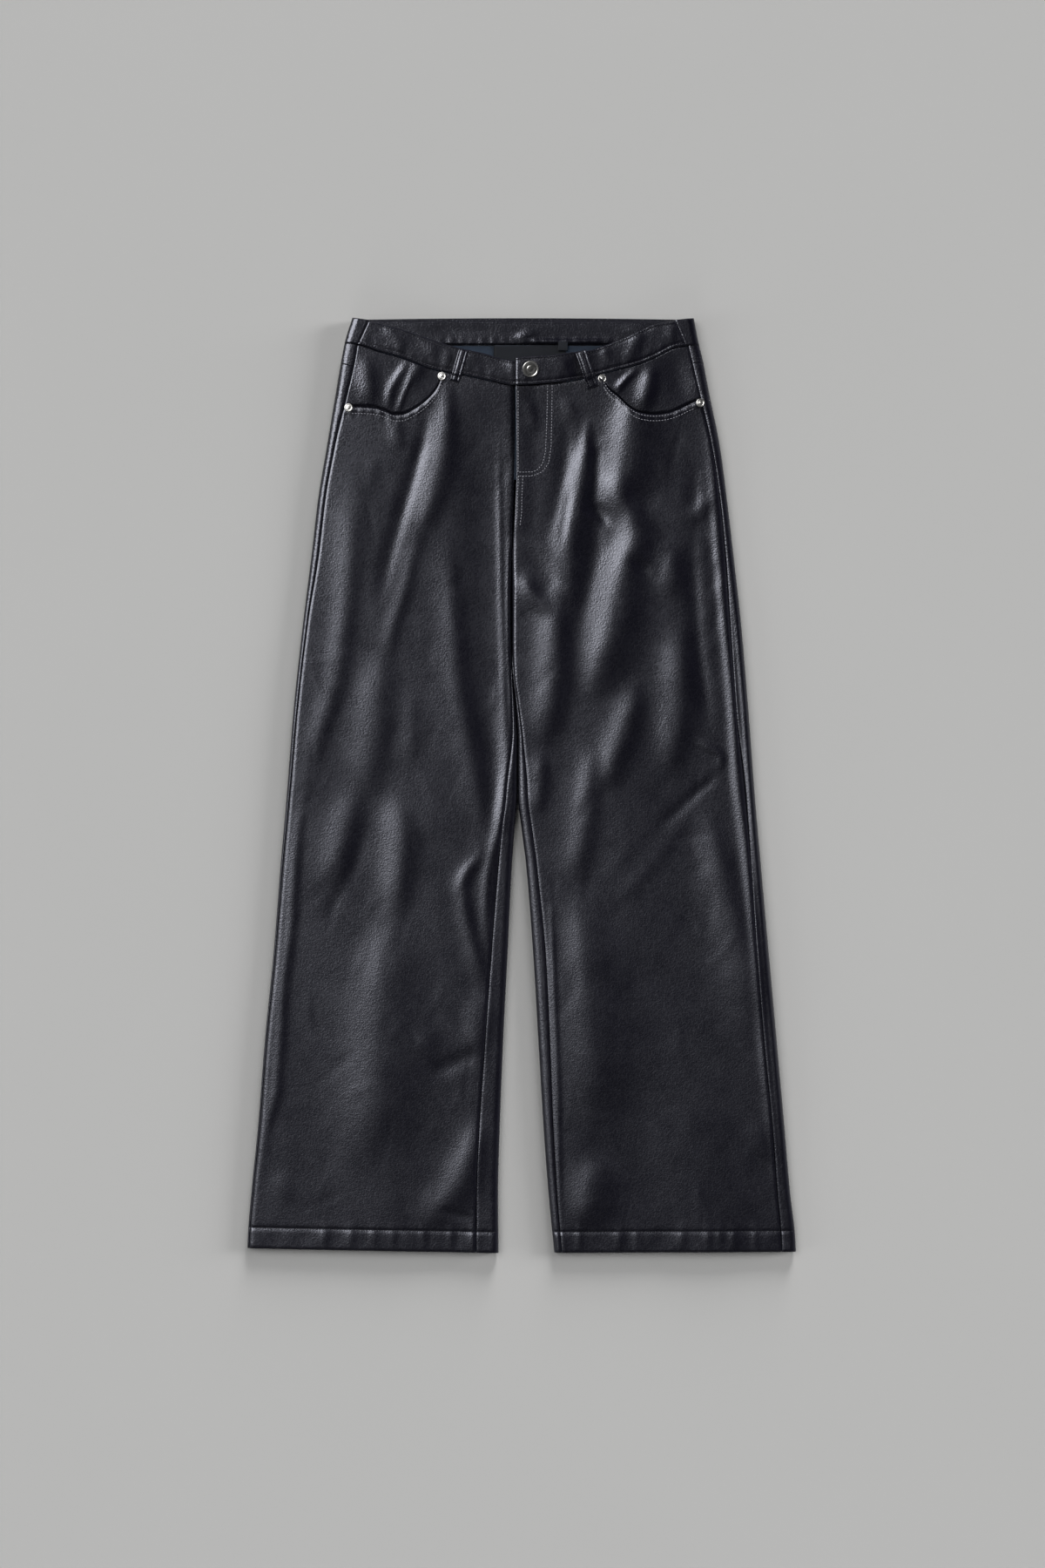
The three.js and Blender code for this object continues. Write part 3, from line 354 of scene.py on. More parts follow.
# %% Folds of the left leg
LEFT_FOLDS = [
    ("fly drape", 3.3, [(74, 118, 3.5), (69, 145, 6), (62, 178, 10), (55, 210, 13), (47, 240, 15),
                        (41, 268, 16), (40, 295, 16), (45, 322, 13), (49, 342, 9)]),
    ("fly drape groove", -0.7, [(54, 194, 3), (50, 215, 3.5), (45, 240, 4), (42, 262, 4)]),
    ("fly drape middle", 4.2, [(28, 308, 12), (26, 350, 16), (23, 400, 18), (19, 445, 17),
                               (13, 492, 12)]),
    ("fly drape low", 1.9, [(13, 500, 9), (13, 535, 10), (10, 570, 8)]),
    ("fly glow", 0.9, [(3, 96, 5), (6, 112, 7), (8, 130, 6)]),
    ("band glow", 1.0, [(43, 95, 6), (48, 105, 8), (55, 117, 7)]),
    ("fly trough", -1.0, [(46, 118, 7), (43, 165, 8), (35, 212, 8), (24, 258, 8)]),
    ("crotch shade", -0.9, [(-4, 266, 8), (18, 288, 9), (38, 312, 9)]),
    ("crotch glow", 2.7, [(-4, 296, 8), (0, 312, 10), (9, 326, 11), (22, 334, 9)]),
    ("pocket drape", 5.2, [(120, 76, 12, 26), (112, 118, 17, 30), (106, 160, 19, 32),
                           (98, 200, 16, 26), (93, 222, 10, 18)]),
    ("thigh drape", 5.0, [(106, 210, 8, 18), (117, 232, 12, 20), (119, 252, 15, 20),
                          (108, 278, 16, 22), (99, 312, 18, 26), (91, 350, 19, 28),
                          (81, 392, 16, 24), (72, 436, 10, 18)]),
    ("drape bridge", 2.4, [(99, 182, 12), (103, 205, 14), (110, 224, 15), (118, 244, 13)]),
    ("pocket kink", -1.5, [(78, 216, 5), (86, 224, 6), (92, 240, 5)]),
    ("kink ridge", 0.9, [(66, 226, 4), (79, 232, 5), (90, 238, 4.5)]),
    ("kink shade", -1.2, [(120, 276, 6), (132, 286, 7), (138, 300, 6)]),
    ("drape trough", -0.8, [(86, 120, 6), (80, 165, 7), (76, 210, 7), (80, 252, 8), (72, 295, 9),
                            (64, 335, 9), (56, 375, 7)]),
    ("drape thin line", 0.6, [(76, 140, 3), (75, 175, 3), (73, 205, 3)]),
    ("hip shade", -0.9, [(193, 165, 8), (191, 215, 8), (191, 258, 8)]),
    ("hip dark fold", -1.3, [(188, 240, 8), (190, 290, 8), (193, 340, 8), (197, 390, 8),
                             (204, 440, 8), (210, 475, 7)]),
    ("hip diagonal", 1.2, [(186, 236, 8), (198, 220, 9), (210, 206, 8)]),
    ("outer soft band", 2.3, [(156, 262, 12), (160, 288, 14), (161, 320, 12)]),
    ("outer long band", 3.2, [(168, 360, 12), (168, 400, 16), (166, 440, 18), (163, 480, 16),
                              (160, 525, 12)]),
    ("thigh diagonal", 2.8, [(122, 420, 9), (116, 448, 13), (104, 480, 15), (93, 512, 14),
                             (86, 545, 11)]),
    ("outseam ridge", 2.3, [(204, 90, 5), (211, 125, 5), (215, 175, 5), (219, 225, 5),
                            (224, 292, 5.5), (229, 350, 5.5), (234, 400, 5.5), (238, 445, 5.5),
                            (244, 534, 5.5), (252, 600, 5.5), (262, 700, 5.5), (271, 800, 5.5),
                            (280, 900, 5.5), (288, 980, 5.5), (293, 1035, 5)]),
    ("outseam roll light", 2.4, [(229.5, 215, 3.5), (236, 268, 4), (242, 322, 4),
                                 (249.5, 400, 4), (261, 548, 4), (268, 628, 4),
                                 (277, 728, 4), (286, 828, 4), (295, 928, 4),
                                 (302, 1008, 4), (306, 1042, 3.5)]),
    ("knee ridge", 2.3, [(72, 495, 9), (67, 535, 12), (62, 575, 14), (55, 615, 14),
                         (47, 655, 12)]),
    ("knee diagonal", 0.4, [(192, 565, 6), (160, 605, 8), (128, 645, 8), (102, 678, 7)]),
    ("knee diagonal trough", -0.8, [(224, 522, 5), (192, 550, 6), (150, 588, 6)]),
    ("knee outer band", 3.2, [(204, 570, 11), (210, 612, 15), (218, 660, 18), (232, 715, 20),
                              (244, 770, 20), (248, 815, 15)]),
    ("knee loop", 1.0, [(198, 486, 4), (212, 494, 4), (226, 504, 4.5), (223, 520, 4)]),
    ("shin soft", 3.9, [(54, 660, 12, 20), (60, 735, 16, 34), (63, 790, 21, 42),
                        (64, 845, 24, 44), (68, 900, 20, 34), (72, 935, 14, 24)]),
    ("hem swell", 3.7, [(62, 1044, 12), (63, 1020, 16, 24), (66, 996, 18, 26),
                        (74, 972, 12, 18)]),
    ("hem side patch", 0.9, [(262, 925, 10), (268, 965, 10)]),
    ("inseam thin line", 0.8, [(30, 640, 3), (33, 720, 3), (36, 800, 3), (39, 880, 3),
                               (40, 940, 3), (42, 1045, 3)]),
]
print("folds of the left leg:", len(LEFT_FOLDS))

# %% [markdown]
# ## From a fold to a height
# A fold could be a raised tube, but it has to melt into the cloth. So each one is a row of
# overlapping soft bells along its line, and their sum is added to the cloth's height. Besides the
# listed folds, faint short creases are scattered by a seeded draw, as wear leaves them.

# %% Puckers of the hems, and a path through a fold
HEM_PUCKERS = {
    "right": (-226, -196, -170, -148, -113, -81, -56),
    "left": (66, 112, 132, 184, 214, 227, 243, 268),
}
LIT_SHIFT = 0.88
LIT_SIDE = 1.25
DARK_SIDE = 0.95


def smooth_path(points, per_span=8):
    """Catmull-Rom points through a fold's rows."""
    rows = np.array(points, float)
    padded = np.vstack([2 * rows[0] - rows[1], rows, 2 * rows[-1] - rows[-2]])
    out = []
    for a, b, c, d in zip(padded, padded[1:], padded[2:], padded[3:]):
        for t in np.arange(per_span) / per_span:
            out.append(
                0.5 * (2 * b + (c - a) * t + (2 * a - 5 * b + 4 * c - d) * t**2
                       + (3 * b - a - 3 * c + d) * t**3)
            )
    out.append(rows[-1])
    return np.array(out)


# %% A fold as a row of soft beads
def beads_of(fold):
    """A fold as a row of soft beads: x, down, width, far width and weight of each."""
    _, rise, points = fold
    path = smooth_path([row if len(row) == 4 else (*row, DARK_SIDE * row[2]) for row in points])
    along = np.concatenate([[0], np.cumsum(np.hypot(*np.diff(path[:, :2], axis=0).T))])
    count = max(3, int(along[-1] / (0.5 * path[:, 2].min())) + 1)
    at = (np.arange(count) + 0.5) / count * along[-1]
    x, down, width, far = (np.interp(at, along, path[:, i]) for i in range(4))
    ends = np.minimum(at, along[-1] - at) / along[-1]
    weight = rise * (along[-1] / count) / (width * math.sqrt(math.pi)) * ease(-0.06, 0.28, ends)
    return x + LIT_SHIFT * width, down, width, far, weight


def folds_height(beads, x, down):
    """What a list of folds adds to the cloth's height at each point."""
    total = np.zeros_like(x)
    for bead_x, bead_down, width, far, weight in beads:
        reach = 3.2 * max(LIT_SIDE * width.max(), far.max())
        near = (x > bead_x.min() - reach) & (x < bead_x.max() + reach)
        near &= (down > bead_down.min() - reach) & (down < bead_down.max() + reach)
        if not near.any():
            continue
        dx = x[near][None, :] - bead_x[:, None]
        dd = (down[near][None, :] - bead_down[:, None]) / width[:, None]
        side_width = np.where(dx < 0, LIT_SIDE * width[:, None], far[:, None])
        total[near] += (weight[:, None] * np.exp(-((dx / side_width) ** 2) - dd**2)).sum(axis=0)
    return total


# %% Faint creases and all the folds
def small_creases(side, count, seed):
    """Short faint creases scattered by a seeded draw, mostly along the leg."""
    draw = random.Random(seed)
    creases = []
    for _ in range(count):
        down = draw.uniform(130, 1040)
        share = draw.uniform(0.06, 0.94)
        x = float(blend(side.outer(down), side.inner(down), share))
        angle = draw.gauss(0.0, 0.5)
        length = draw.uniform(22, 70)
        dx, dd = math.sin(angle) * length / 2, math.cos(angle) * length / 2
        width = draw.uniform(4.0, 8.0)
        rise = draw.choice((-1, 1)) * draw.uniform(0.08, 0.26)
        bow = draw.uniform(-4, 4)
        points = [(x - dx, down - dd, width * 0.7), (x + bow, down, width),
                  (x + dx, down + dd, width * 0.7)]
        creases.append(("faint", rise, points))
    return creases


FOLDS = {
    "right": RIGHT_FOLDS + small_creases(RIGHT, 90, 11),
    "left": LEFT_FOLDS + small_creases(LEFT, 90, 23),
}
BEADS = {name: [beads_of(fold) for fold in folds] for name, folds in FOLDS.items()}
print("folds with creases:", {name: len(folds) for name, folds in FOLDS.items()})

# %% [markdown]
# ## The surface of the laid garment
# Each half of the trousers is a flattened tube. Its surface is described by a place on it: how
# far down, and how far round its side fold. Zero is the tip of the fold, values above zero climb
# over the front and values below zero run under the back. Near a seam the leather turns in, which
# gives the fine groove that shows between two panels.

# %% Small forms along seams and stitches
SEAM_TURN = 0.8
SEAM_TURN_WIDTH = 1.5
POCKET_ROWS = (2.2, 7.5)


def seam_turn(distance):
    return -SEAM_TURN * bell(distance, SEAM_TURN_WIDTH)


def slow_swell(x, down):
    """Very long waves, so that no part of the cloth is a true plane."""
    wave = 0.45 * np.sin(x / 31 + down / 140) + 0.35 * np.sin(x / 19 - down / 95 + 1.3)
    return wave * ease(90, 220, down)


def pucker(along, distance, pitch, height, reach):
    """Small regular waves beside a row of stitches, fading away from it."""
    wave = np.sin(2 * np.pi * along / pitch) + 0.5 * np.sin(2 * np.pi * along / (pitch * 1.37) + 1)
    return height * wave * bell(distance, reach)


def pocket_band(side, x, down):
    """The double-stitched band along the pocket's mouth."""
    below = down - side.mouth(x)
    inside = ease(0, 4, side.past_mouth(x))
    raised = 0.35 * (ease(-0.5, 1.5, below) - ease(7.5, 9.5, below))
    near, far = POCKET_ROWS
    groove = -0.3 * bell(below - near, 0.9) - 0.35 * bell(below - far, 1.1)
    return inside * (raised + groove + pucker(x, below - 5, 11, 0.2, 4.5))


# %% Height of a front panel
def leg_height(side, x, down):
    """Height of a front panel's outer face, with its folds and stitched edges."""
    height = base_height(down) + slow_swell(x, down)
    height = height + folds_height(BEADS[side.name], x, down)
    above_hem = side.hem(x) - down
    height = height - 0.7 * bell(above_hem - HEM_DEPTH, 1.6) - 0.9 * bell(above_hem, 1.4)
    height = height + pucker(x, above_hem - HEM_DEPTH * 0.6, 34, 0.22, 9)
    for at in HEM_PUCKERS[side.name]:
        height = height + 0.8 * bell(x - at, 4.5) * bell(above_hem - 17, 12)
    height = height + pocket_band(side, x, down)
    return height


def plain_height(side, x, down):
    """The cloth's height without folds, asked for in the same way as a leg's."""
    return base_height(down) + 0 * x


# %% Rounding off at the side folds
def roll(share):
    return np.sqrt(np.maximum(0, 1 - (1 - np.clip(share, 0, 1)) ** 2))


def outer_tip(down):
    return blend(7.0, 4.5, ease(30, 90, down))


def back_lift(down):
    return BACK_LIFT * (1 - ease(48, 84, down))


def inner_roll(down):
    return blend(4.5, TOP_ROLL, ease(CROTCH, 640, down))


def upper_z(side, x, down, height):
    top = height(side, x, down)
    from_outer = np.abs(x - side.outer(down))
    from_inner = np.abs(x - side.inner(down))
    inner_tip = blend(top, middle_edge(down), np.clip(side.crease(down), 0, 1))
    outer_drop = (top - outer_tip(down)) * (1 - roll(from_outer / TOP_ROLL))
    inner_drop = (top - inner_tip) * (1 - roll(from_inner / inner_roll(down)))
    return top - outer_drop - inner_drop


def lower_z(side, x, down):
    from_outer = np.abs(x - side.outer(down))
    from_inner = np.abs(x - side.inner(down))
    lift = back_lift(down)
    outer_lift = (outer_tip(down) - lift) * (1 - roll(from_outer / BOTTOM_ROLL))
    inner_lift = middle_edge(down) * (1 - roll(from_inner / BOTTOM_ROLL))
    return lift + outer_lift + inner_lift


# %% Places round a side fold
def inset_to_p(inset, width):
    within = (2 / np.pi) * np.arccos(np.clip(1 - inset / width, -1, 1))
    return np.where(inset >= width, 1 + (inset - width) / STEP_BEYOND_ROLL, within)


def side_x(side, fold, down, p):
    outer = fold == "outer"
    width = np.where(p >= 0, TOP_ROLL if outer else inner_roll(down), BOTTOM_ROLL)
    size = np.abs(p)
    within = width * (1 - np.cos(np.clip(size, 0, 1) * np.pi / 2))
    inset = np.where(size <= 1, within, width + (size - 1) * STEP_BEYOND_ROLL)
    tip = side.outer(down) if outer else side.inner(down)
    return tip - inset * side.sign * (1 if outer else -1)


def side_points(side, fold, down, p, height):
    x = side_x(side, fold, down, p)
    z = np.where(p >= 0, upper_z(side, x, down, height), lower_z(side, x, down))
    return x, z


def settle(edge, column_x, start):
    """Where each column meets a curved edge, found by a few steps."""
    down = start
    for _ in range(14):
        down = blend(down, edge(column_x(down)), 0.7)
    return down


# %% [markdown]
# ## Sheets of leather
# Every cloth piece starts as a flat grid, which is then laid on the surface. The grid is made by
# Blender, and only its points are moved. A Solidify modifier gives the leather its thickness
# towards the inside. Rows and columns lie closer together at the edges, so that turned edges and
# stitch grooves stay crisp while the middle of a panel needs few faces.

# %% A grid of points as a sheet
surfaces = []


def grid_mesh(name, x, down, z, thickness, keep_surface=True):
    """A grid of points in millimetres as a sheet. Rows run down, columns run across."""
    rows, columns = x.shape
    bm = bmesh.new()
    bmesh.ops.create_grid(bm, x_segments=columns - 1, y_segments=rows - 1, size=0.5)
    mesh = bpy.data.meshes.new(name)
    bm.to_mesh(mesh)
    bm.free()
    flat = np.empty(len(mesh.vertices) * 3)
    mesh.vertices.foreach_get("co", flat)
    flat = flat.reshape(-1, 3)
    column = np.rint((flat[:, 0] + 0.5) * (columns - 1)).astype(int)
    row = np.rint((0.5 - flat[:, 1]) * (rows - 1)).astype(int)
    place = np.stack([x[row, column], LENGTH / 2 - down[row, column], z[row, column]], axis=1)
    mesh.vertices.foreach_set("co", (place * MM).ravel())
    mesh.shade_smooth()
    mesh.update()
    piece = bpy.data.objects.new(name, mesh)
    bpy.context.scene.collection.objects.link(piece)
    if keep_surface:
        surface = bmesh.new()
        surface.from_mesh(mesh)
        surfaces.append(BVHTree.FromBMesh(surface))
        surface.free()
    solid = piece.modifiers.new("thickness", "SOLIDIFY")
    solid.thickness = thickness * MM
    solid.offset = -1
    solid.use_even_offset = False
    return piece


# %% Declaring a sheet
def point_faces(piece, upwards):
    """Turns a sheet's faces so that its middle faces up or down."""
    mesh = piece.data
    total = sum((face.normal * face.area for face in mesh.polygons), Vector())
    if (total.z > 0) != upwards:
        mesh.flip_normals()


def cloth(name, node, x, down, z, material, thickness=LEATHER, upwards=True,
          keep_surface=True, inside=None):
    """A finished sheet that stands for a CAD node, with another material inside if it has one."""
    piece = grid_mesh(name, x, down, z, thickness, keep_surface)
    point_faces(piece, upwards)
    piece.data.materials.append(material)
    if inside is not None:
        piece.data.materials.append(inside)
        piece.modifiers["thickness"].material_offset = 1
    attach(piece, "root")
    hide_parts(node)
    return piece


# %% [markdown]
# ## Materials
# Five surfaces show: coated leather, a woven backing, satin ribbon, thread and aged nickel. Each
# gets its own node tree, made by short helpers, so that a finish reads as a list of what is on
# it. All patterns read Object coordinates in metres, so their scale is the real one on every
# piece.

# %% Material helpers
def new_material(name):
    material = bpy.data.materials.new(name)
    material.use_nodes = True
    nodes, links = material.node_tree.nodes, material.node_tree.links
    shader = nodes["Principled BSDF"]
    coordinates = nodes.new("ShaderNodeTexCoord")
    return material, nodes, links, shader, coordinates.outputs["Object"]


def noise(nodes, links, vector, scale, detail=3.0, roughness=0.5, distortion=0.0):
    node = nodes.new("ShaderNodeTexNoise")
    node.inputs["Scale"].default_value = scale
    node.inputs["Detail"].default_value = detail
    node.inputs["Roughness"].default_value = roughness
    node.inputs["Distortion"].default_value = distortion
    links.new(vector, node.inputs["Vector"])
    return node.outputs["Fac"]


def ramp_value(nodes, links, value, low, high, to_low, to_high):
    node = nodes.new("ShaderNodeMapRange")
    node.inputs["From Min"].default_value = low
    node.inputs["From Max"].default_value = high
    node.inputs["To Min"].default_value = to_low
    node.inputs["To Max"].default_value = to_high
    links.new(value, node.inputs["Value"])
    return node.outputs["Result"]


def two_colours(nodes, links, value, first, second):
    node = nodes.new("ShaderNodeMix")
    node.data_type = "RGBA"
    node.inputs["A"].default_value = (*first, 1)
    node.inputs["B"].default_value = (*second, 1)
    links.new(value, node.inputs["Factor"])
    return node.outputs["Result"]


def bump(nodes, links, height, distance, strength, under=None):
    node = nodes.new("ShaderNodeBump")
    node.inputs["Distance"].default_value = distance
    node.inputs["Strength"].default_value = strength
    links.new(height, node.inputs["Height"])
    if under is not None:
        links.new(under, node.inputs["Normal"])
    return node.outputs["Normal"]


# %% [markdown]
# ## Coated leather
# The leather is nearly black with a cool tint. Its coat is pressed with pebbles of about two
# millimetres, crossed by faint crackle lines, and its soft gloss varies from place to place. An
# image could carry the grain, but Voronoi cells and noise make it for any piece without a seam.
# Pores and crackle are a little rougher than the pebbles, so they stay dark inside a highlight.
# The gloss has a faint cool tint too, and is a little sharper towards the waist.

# %% Pebbles and crackle of the coat
def pebbles_of(nodes, links, place):
    """Rounded cells of about two millimetres: 0 in the middle of each, more in the pores."""
    cells = nodes.new("ShaderNodeTexVoronoi")
    cells.feature = "F1"
    cells.inputs["Scale"].default_value = 520
    cells.inputs["Randomness"].default_value = 0.9
    links.new(place, cells.inputs["Vector"])
    return cells.outputs["Distance"]


def crackle_of(nodes, links, place):
    """Thin lines round larger cells, bent by noise so that they wander: 0 in a line, else 1."""
    warp = nodes.new("ShaderNodeTexNoise")
    warp.inputs["Scale"].default_value = 60
    warp.inputs["Detail"].default_value = 4
    links.new(place, warp.inputs["Vector"])
    shrink = nodes.new("ShaderNodeVectorMath")
    shrink.operation = "SCALE"
    shrink.inputs["Scale"].default_value = 0.014
    links.new(warp.outputs["Color"], shrink.inputs[0])
    bend = nodes.new("ShaderNodeVectorMath")
    bend.operation = "ADD"
    links.new(place, bend.inputs[0])
    links.new(shrink.outputs["Vector"], bend.inputs[1])
    cells = nodes.new("ShaderNodeTexVoronoi")
    cells.feature = "DISTANCE_TO_EDGE"
    cells.inputs["Scale"].default_value = 150
    links.new(bend.outputs["Vector"], cells.inputs["Vector"])
    return ramp_value(nodes, links, cells.outputs["Distance"], 0.0, 0.12, 0.0, 1.0)


# %% Relief and gloss of the coat
def leather_relief(nodes, links, place, pebbles, lines):
    """Pebbles first, with crackle, mottling and soft creases laid over them in turn."""
    creased = noise(nodes, links, place, 90, 3, 0.55, 0.2)
    mottled = noise(nodes, links, place, 330, 2, 0.5)
    grain = bump(nodes, links, pebbles, 0.0003, 0.4)
    grain = bump(nodes, links, lines, 0.0001, 0.1, grain)
    grain = bump(nodes, links, mottled, 0.0003, 0.25, grain)
    return bump(nodes, links, creased, 0.0005, 0.2, grain)


def leather_roughness(nodes, links, place, pebbles, lines, rough_low, rough_high, crackle):
    """Patches, a little less towards the waist, and more in the crackle lines and the pores."""
    patches = noise(nodes, links, place, 34, 5, 0.6)
    total = ramp_value(nodes, links, patches, 0.3, 0.7, rough_low, rough_high)
    parts = nodes.new("ShaderNodeSeparateXYZ")
    links.new(place, parts.inputs["Vector"])
    wear = ramp_value(nodes, links, parts.outputs["Y"], -0.2, 0.5, 0.0, -0.07)
    grooves = ramp_value(nodes, links, lines, 0.0, 1.0, crackle, 0.0)
    pores = ramp_value(nodes, links, pebbles, 0.2, 0.7, 0.0, 0.06)
    for part in (wear, grooves, pores):
        add = nodes.new("ShaderNodeMath")
        add.operation = "ADD"
        links.new(total, add.inputs[0])
        links.new(part, add.inputs[1])
        total = add.outputs["Value"]
    return total


# %% Coated leather
def leather_material(name, rough_low, rough_high, crackle=0.05):
    material, nodes, links, shader, place = new_material(name)
    pebbles, lines = pebbles_of(nodes, links, place), crackle_of(nodes, links, place)
    links.new(leather_relief(nodes, links, place, pebbles, lines), shader.inputs["Normal"])
    tone = noise(nodes, links, place, 22, 4, 0.6)
    colour = two_colours(nodes, links, tone, (0.0005, 0.0005, 0.001), (0.0012, 0.0011, 0.002))
    links.new(colour, shader.inputs["Base Color"])
    roughness = leather_roughness(
        nodes, links, place, pebbles, lines, rough_low, rough_high, crackle
    )
    links.new(roughness, shader.inputs["Roughness"])
    shader.inputs["Specular IOR Level"].default_value = 0.6
    shader.inputs["Specular Tint"].default_value = (0.88, 0.895, 1.0, 1)
    return material


LEATHER_FACE = leather_material("coated_leather", 0.25, 0.32)
LEATHER_TRIM = leather_material("trim_leather", 0.21, 0.28, crackle=0.04)
print("leathers:", LEATHER_FACE.name, "and", LEATHER_TRIM.name)

# %% [markdown]
# ## Backing, ribbon, thread and metal
# The inside of the leather is a dark blue woven backing with diagonal ribs and hardly any shine.
# The labels are satin ribbon with finer ribs. Two thread colours are used on a black thread: at
# the pockets and the fly a dark grey, which is a painted highlight for the gloss of its stitches,
# and at the hems, the waistband and the loops black, which only darkens its row. Rivets and button
# are nickel, rubbed bright in places. A few nodes do for each, because these surfaces are small in
# the picture.

# %% Woven backing and satin ribbon
def backing_material():
    material, nodes, links, shader, place = new_material("woven_backing")
    weave = nodes.new("ShaderNodeTexWave")
    weave.bands_direction = "DIAGONAL"
    weave.inputs["Scale"].default_value = 420
    weave.inputs["Distortion"].default_value = 0.6
    links.new(place, weave.inputs["Vector"])
    links.new(bump(nodes, links, weave.outputs["Fac"], 0.0003, 0.5), shader.inputs["Normal"])
    tone = noise(nodes, links, place, 160, 3)
    colour = two_colours(nodes, links, tone, (0.0055, 0.0085, 0.0135), (0.009, 0.0125, 0.019))
    links.new(colour, shader.inputs["Base Color"])
    shader.inputs["Roughness"].default_value = 0.85
    shader.inputs["Specular IOR Level"].default_value = 0.15
    return material


def satin_material():
    material, nodes, links, shader, place = new_material("label_satin")
    weave = nodes.new("ShaderNodeTexWave")
    weave.inputs["Scale"].default_value = 700
    weave.inputs["Distortion"].default_value = 0.3
    links.new(place, weave.inputs["Vector"])
    links.new(bump(nodes, links, weave.outputs["Fac"], 0.0001, 0.4), shader.inputs["Normal"])
    tone = noise(nodes, links, place, 60, 3)
    colour = two_colours(nodes, links, tone, (0.0016, 0.002, 0.0028), (0.003, 0.0034, 0.0045))
    links.new(colour, shader.inputs["Base Color"])
    shader.inputs["Roughness"].default_value = 0.6
    shader.inputs["Specular IOR Level"].default_value = 0.1
    return material


# %% Thread and nickel
def thread_material(name, first, second):
    material, nodes, links, shader, place = new_material(name)
    twist = noise(nodes, links, place, 2600, 2)
    links.new(bump(nodes, links, twist, 0.0001, 0.5), shader.inputs["Normal"])
    links.new(two_colours(nodes, links, twist, first, second), shader.inputs["Base Color"])
    shader.inputs["Roughness"].default_value = 0.42
    return material


def metal_material():
    material, nodes, links, shader, place = new_material("aged_nickel")
    wear = noise(nodes, links, place, 900, 4, 0.6)
    colour = two_colours(nodes, links, wear, (0.25, 0.242, 0.226), (0.54, 0.53, 0.505))
    links.new(colour, shader.inputs["Base Color"])
    links.new(ramp_value(nodes, links, wear, 0.3, 0.7, 0.24, 0.42), shader.inputs["Roughness"])
    links.new(bump(nodes, links, wear, 0.0002, 0.25), shader.inputs["Normal"])
    shader.inputs["Metallic"].default_value = 1.0
    return material


BACKING = backing_material()
SATIN = satin_material()
# The dark grey thread colour is a painted highlight: the thread is black, lightened to show its
# gloss.
PAINTED_HIGHLIGHT_THREAD = thread_material("thread_painted_highlight", (0.04, 0.04, 0.046), (0.095, 0.095, 0.105))
DARK_THREAD = thread_material("dark_thread", (0.003, 0.003, 0.004), (0.008, 0.008, 0.01))
NICKEL = metal_material()
print("materials:", len(bpy.data.materials))

# %% [markdown]
# ## Front leg panels
# A front panel runs from the waistband and the pocket mouth down to the hem, and from the outer
# seam across to the inner one. The columns of its grid are counted from both seams towards the
# middle of the leg, and ease apart, so that the seams' grooves are fine.

# %% Rows, columns and the fly's edge
TOP_GUESS, HEM_GUESS = 90.0, 1070.0


def leg_rows(top, hem, middle_rows):
    """Distances down for every row of a leg panel, given each column's two ends."""
    top_steps = np.array([0, 0.6, 1.3, 2.2, 3.4, 5, 7, 9.5])
    hem_steps = np.array([28, 26, 24.8, 24, 23.2, 22, 19, 15, 11, 7.5, 5, 3, 1.8, 0.9, 0.3, 0])
    start, end = top_steps[-1], hem_steps[0]
    shares = np.linspace(0, 1, middle_rows + 2)[1:-1]
    rows = [top + step for step in top_steps]
    rows += [blend(top + start, hem - end, share) for share in shares]
    rows += [hem - step for step in hem_steps]
    return np.array(rows)


def outseam_p(side, down):
    return inset_to_p(side.outseam(down), TOP_ROLL)


def panel_top(side):
    def down_at(x):
        seam = front_seam(x) + BAND_GAP
        return np.where(side.past_mouth(x) > 0, np.maximum(side.mouth(x), seam), seam)

    return down_at


def across(share, seam, middle, easing):
    return blend(seam, middle, share**easing)


def fly_step(side, from_seam, down):
    """The fly's open edge: the left panel stands up beside the sunken right one."""
    along_fly = 1 - ease(236, 262, down)
    if side.sign < 0:
        return -3.2 * along_fly * bell(from_seam, 7.0)
    return 1.4 * along_fly * (1 - ease(6, 30, from_seam)) * ease(0, 1.6, from_seam)


# %% A front panel
def front_panel(side, half_columns=50, middle_rows=300):
    shares = np.linspace(0, 1, half_columns + 1)

    def outer_p(down, share):
        middle = np.abs((side.inner(down) - side.outer(down)) / 2)
        return across(share, outseam_p(side, down) + SEAM_STEP, inset_to_p(middle, TOP_ROLL), 1.3)

    def inner_p(down, share):
        middle = np.abs((side.inner(down) - side.outer(down)) / 2)
        seam = side.inseam(down) + SEAM_STEP
        return across(share, seam, inset_to_p(middle, inner_roll(down)), 1.35)

    halves = []
    for fold, place, order in (("outer", outer_p, shares), ("inner", inner_p, shares[-2::-1])):
        def column_x(d):
            return side_x(side, fold, d, place(d, order))

        top = settle(panel_top(side), column_x, np.full(order.shape, TOP_GUESS))
        hem = settle(side.hem, column_x, np.full(order.shape, HEM_GUESS))
        down = leg_rows(top, hem, middle_rows)
        p = place(down, order[None, :])
        x, z = side_points(side, fold, down, p, leg_height)
        from_seam = np.abs(p - (outseam_p(side, down) if fold == "outer" else side.inseam(down)))
        z = z + seam_turn(from_seam * STEP_BEYOND_ROLL)
        if fold == "inner":
            z = z + fly_step(side, from_seam * STEP_BEYOND_ROLL, down)
        from_top = down - top[None, :]
        z = z + 0.6 * seam_turn(from_top)
        halves.append((x, down, z))
    x, down, z = (np.concatenate([a, b], axis=1) for a, b in zip(*halves))
    return x, down, z


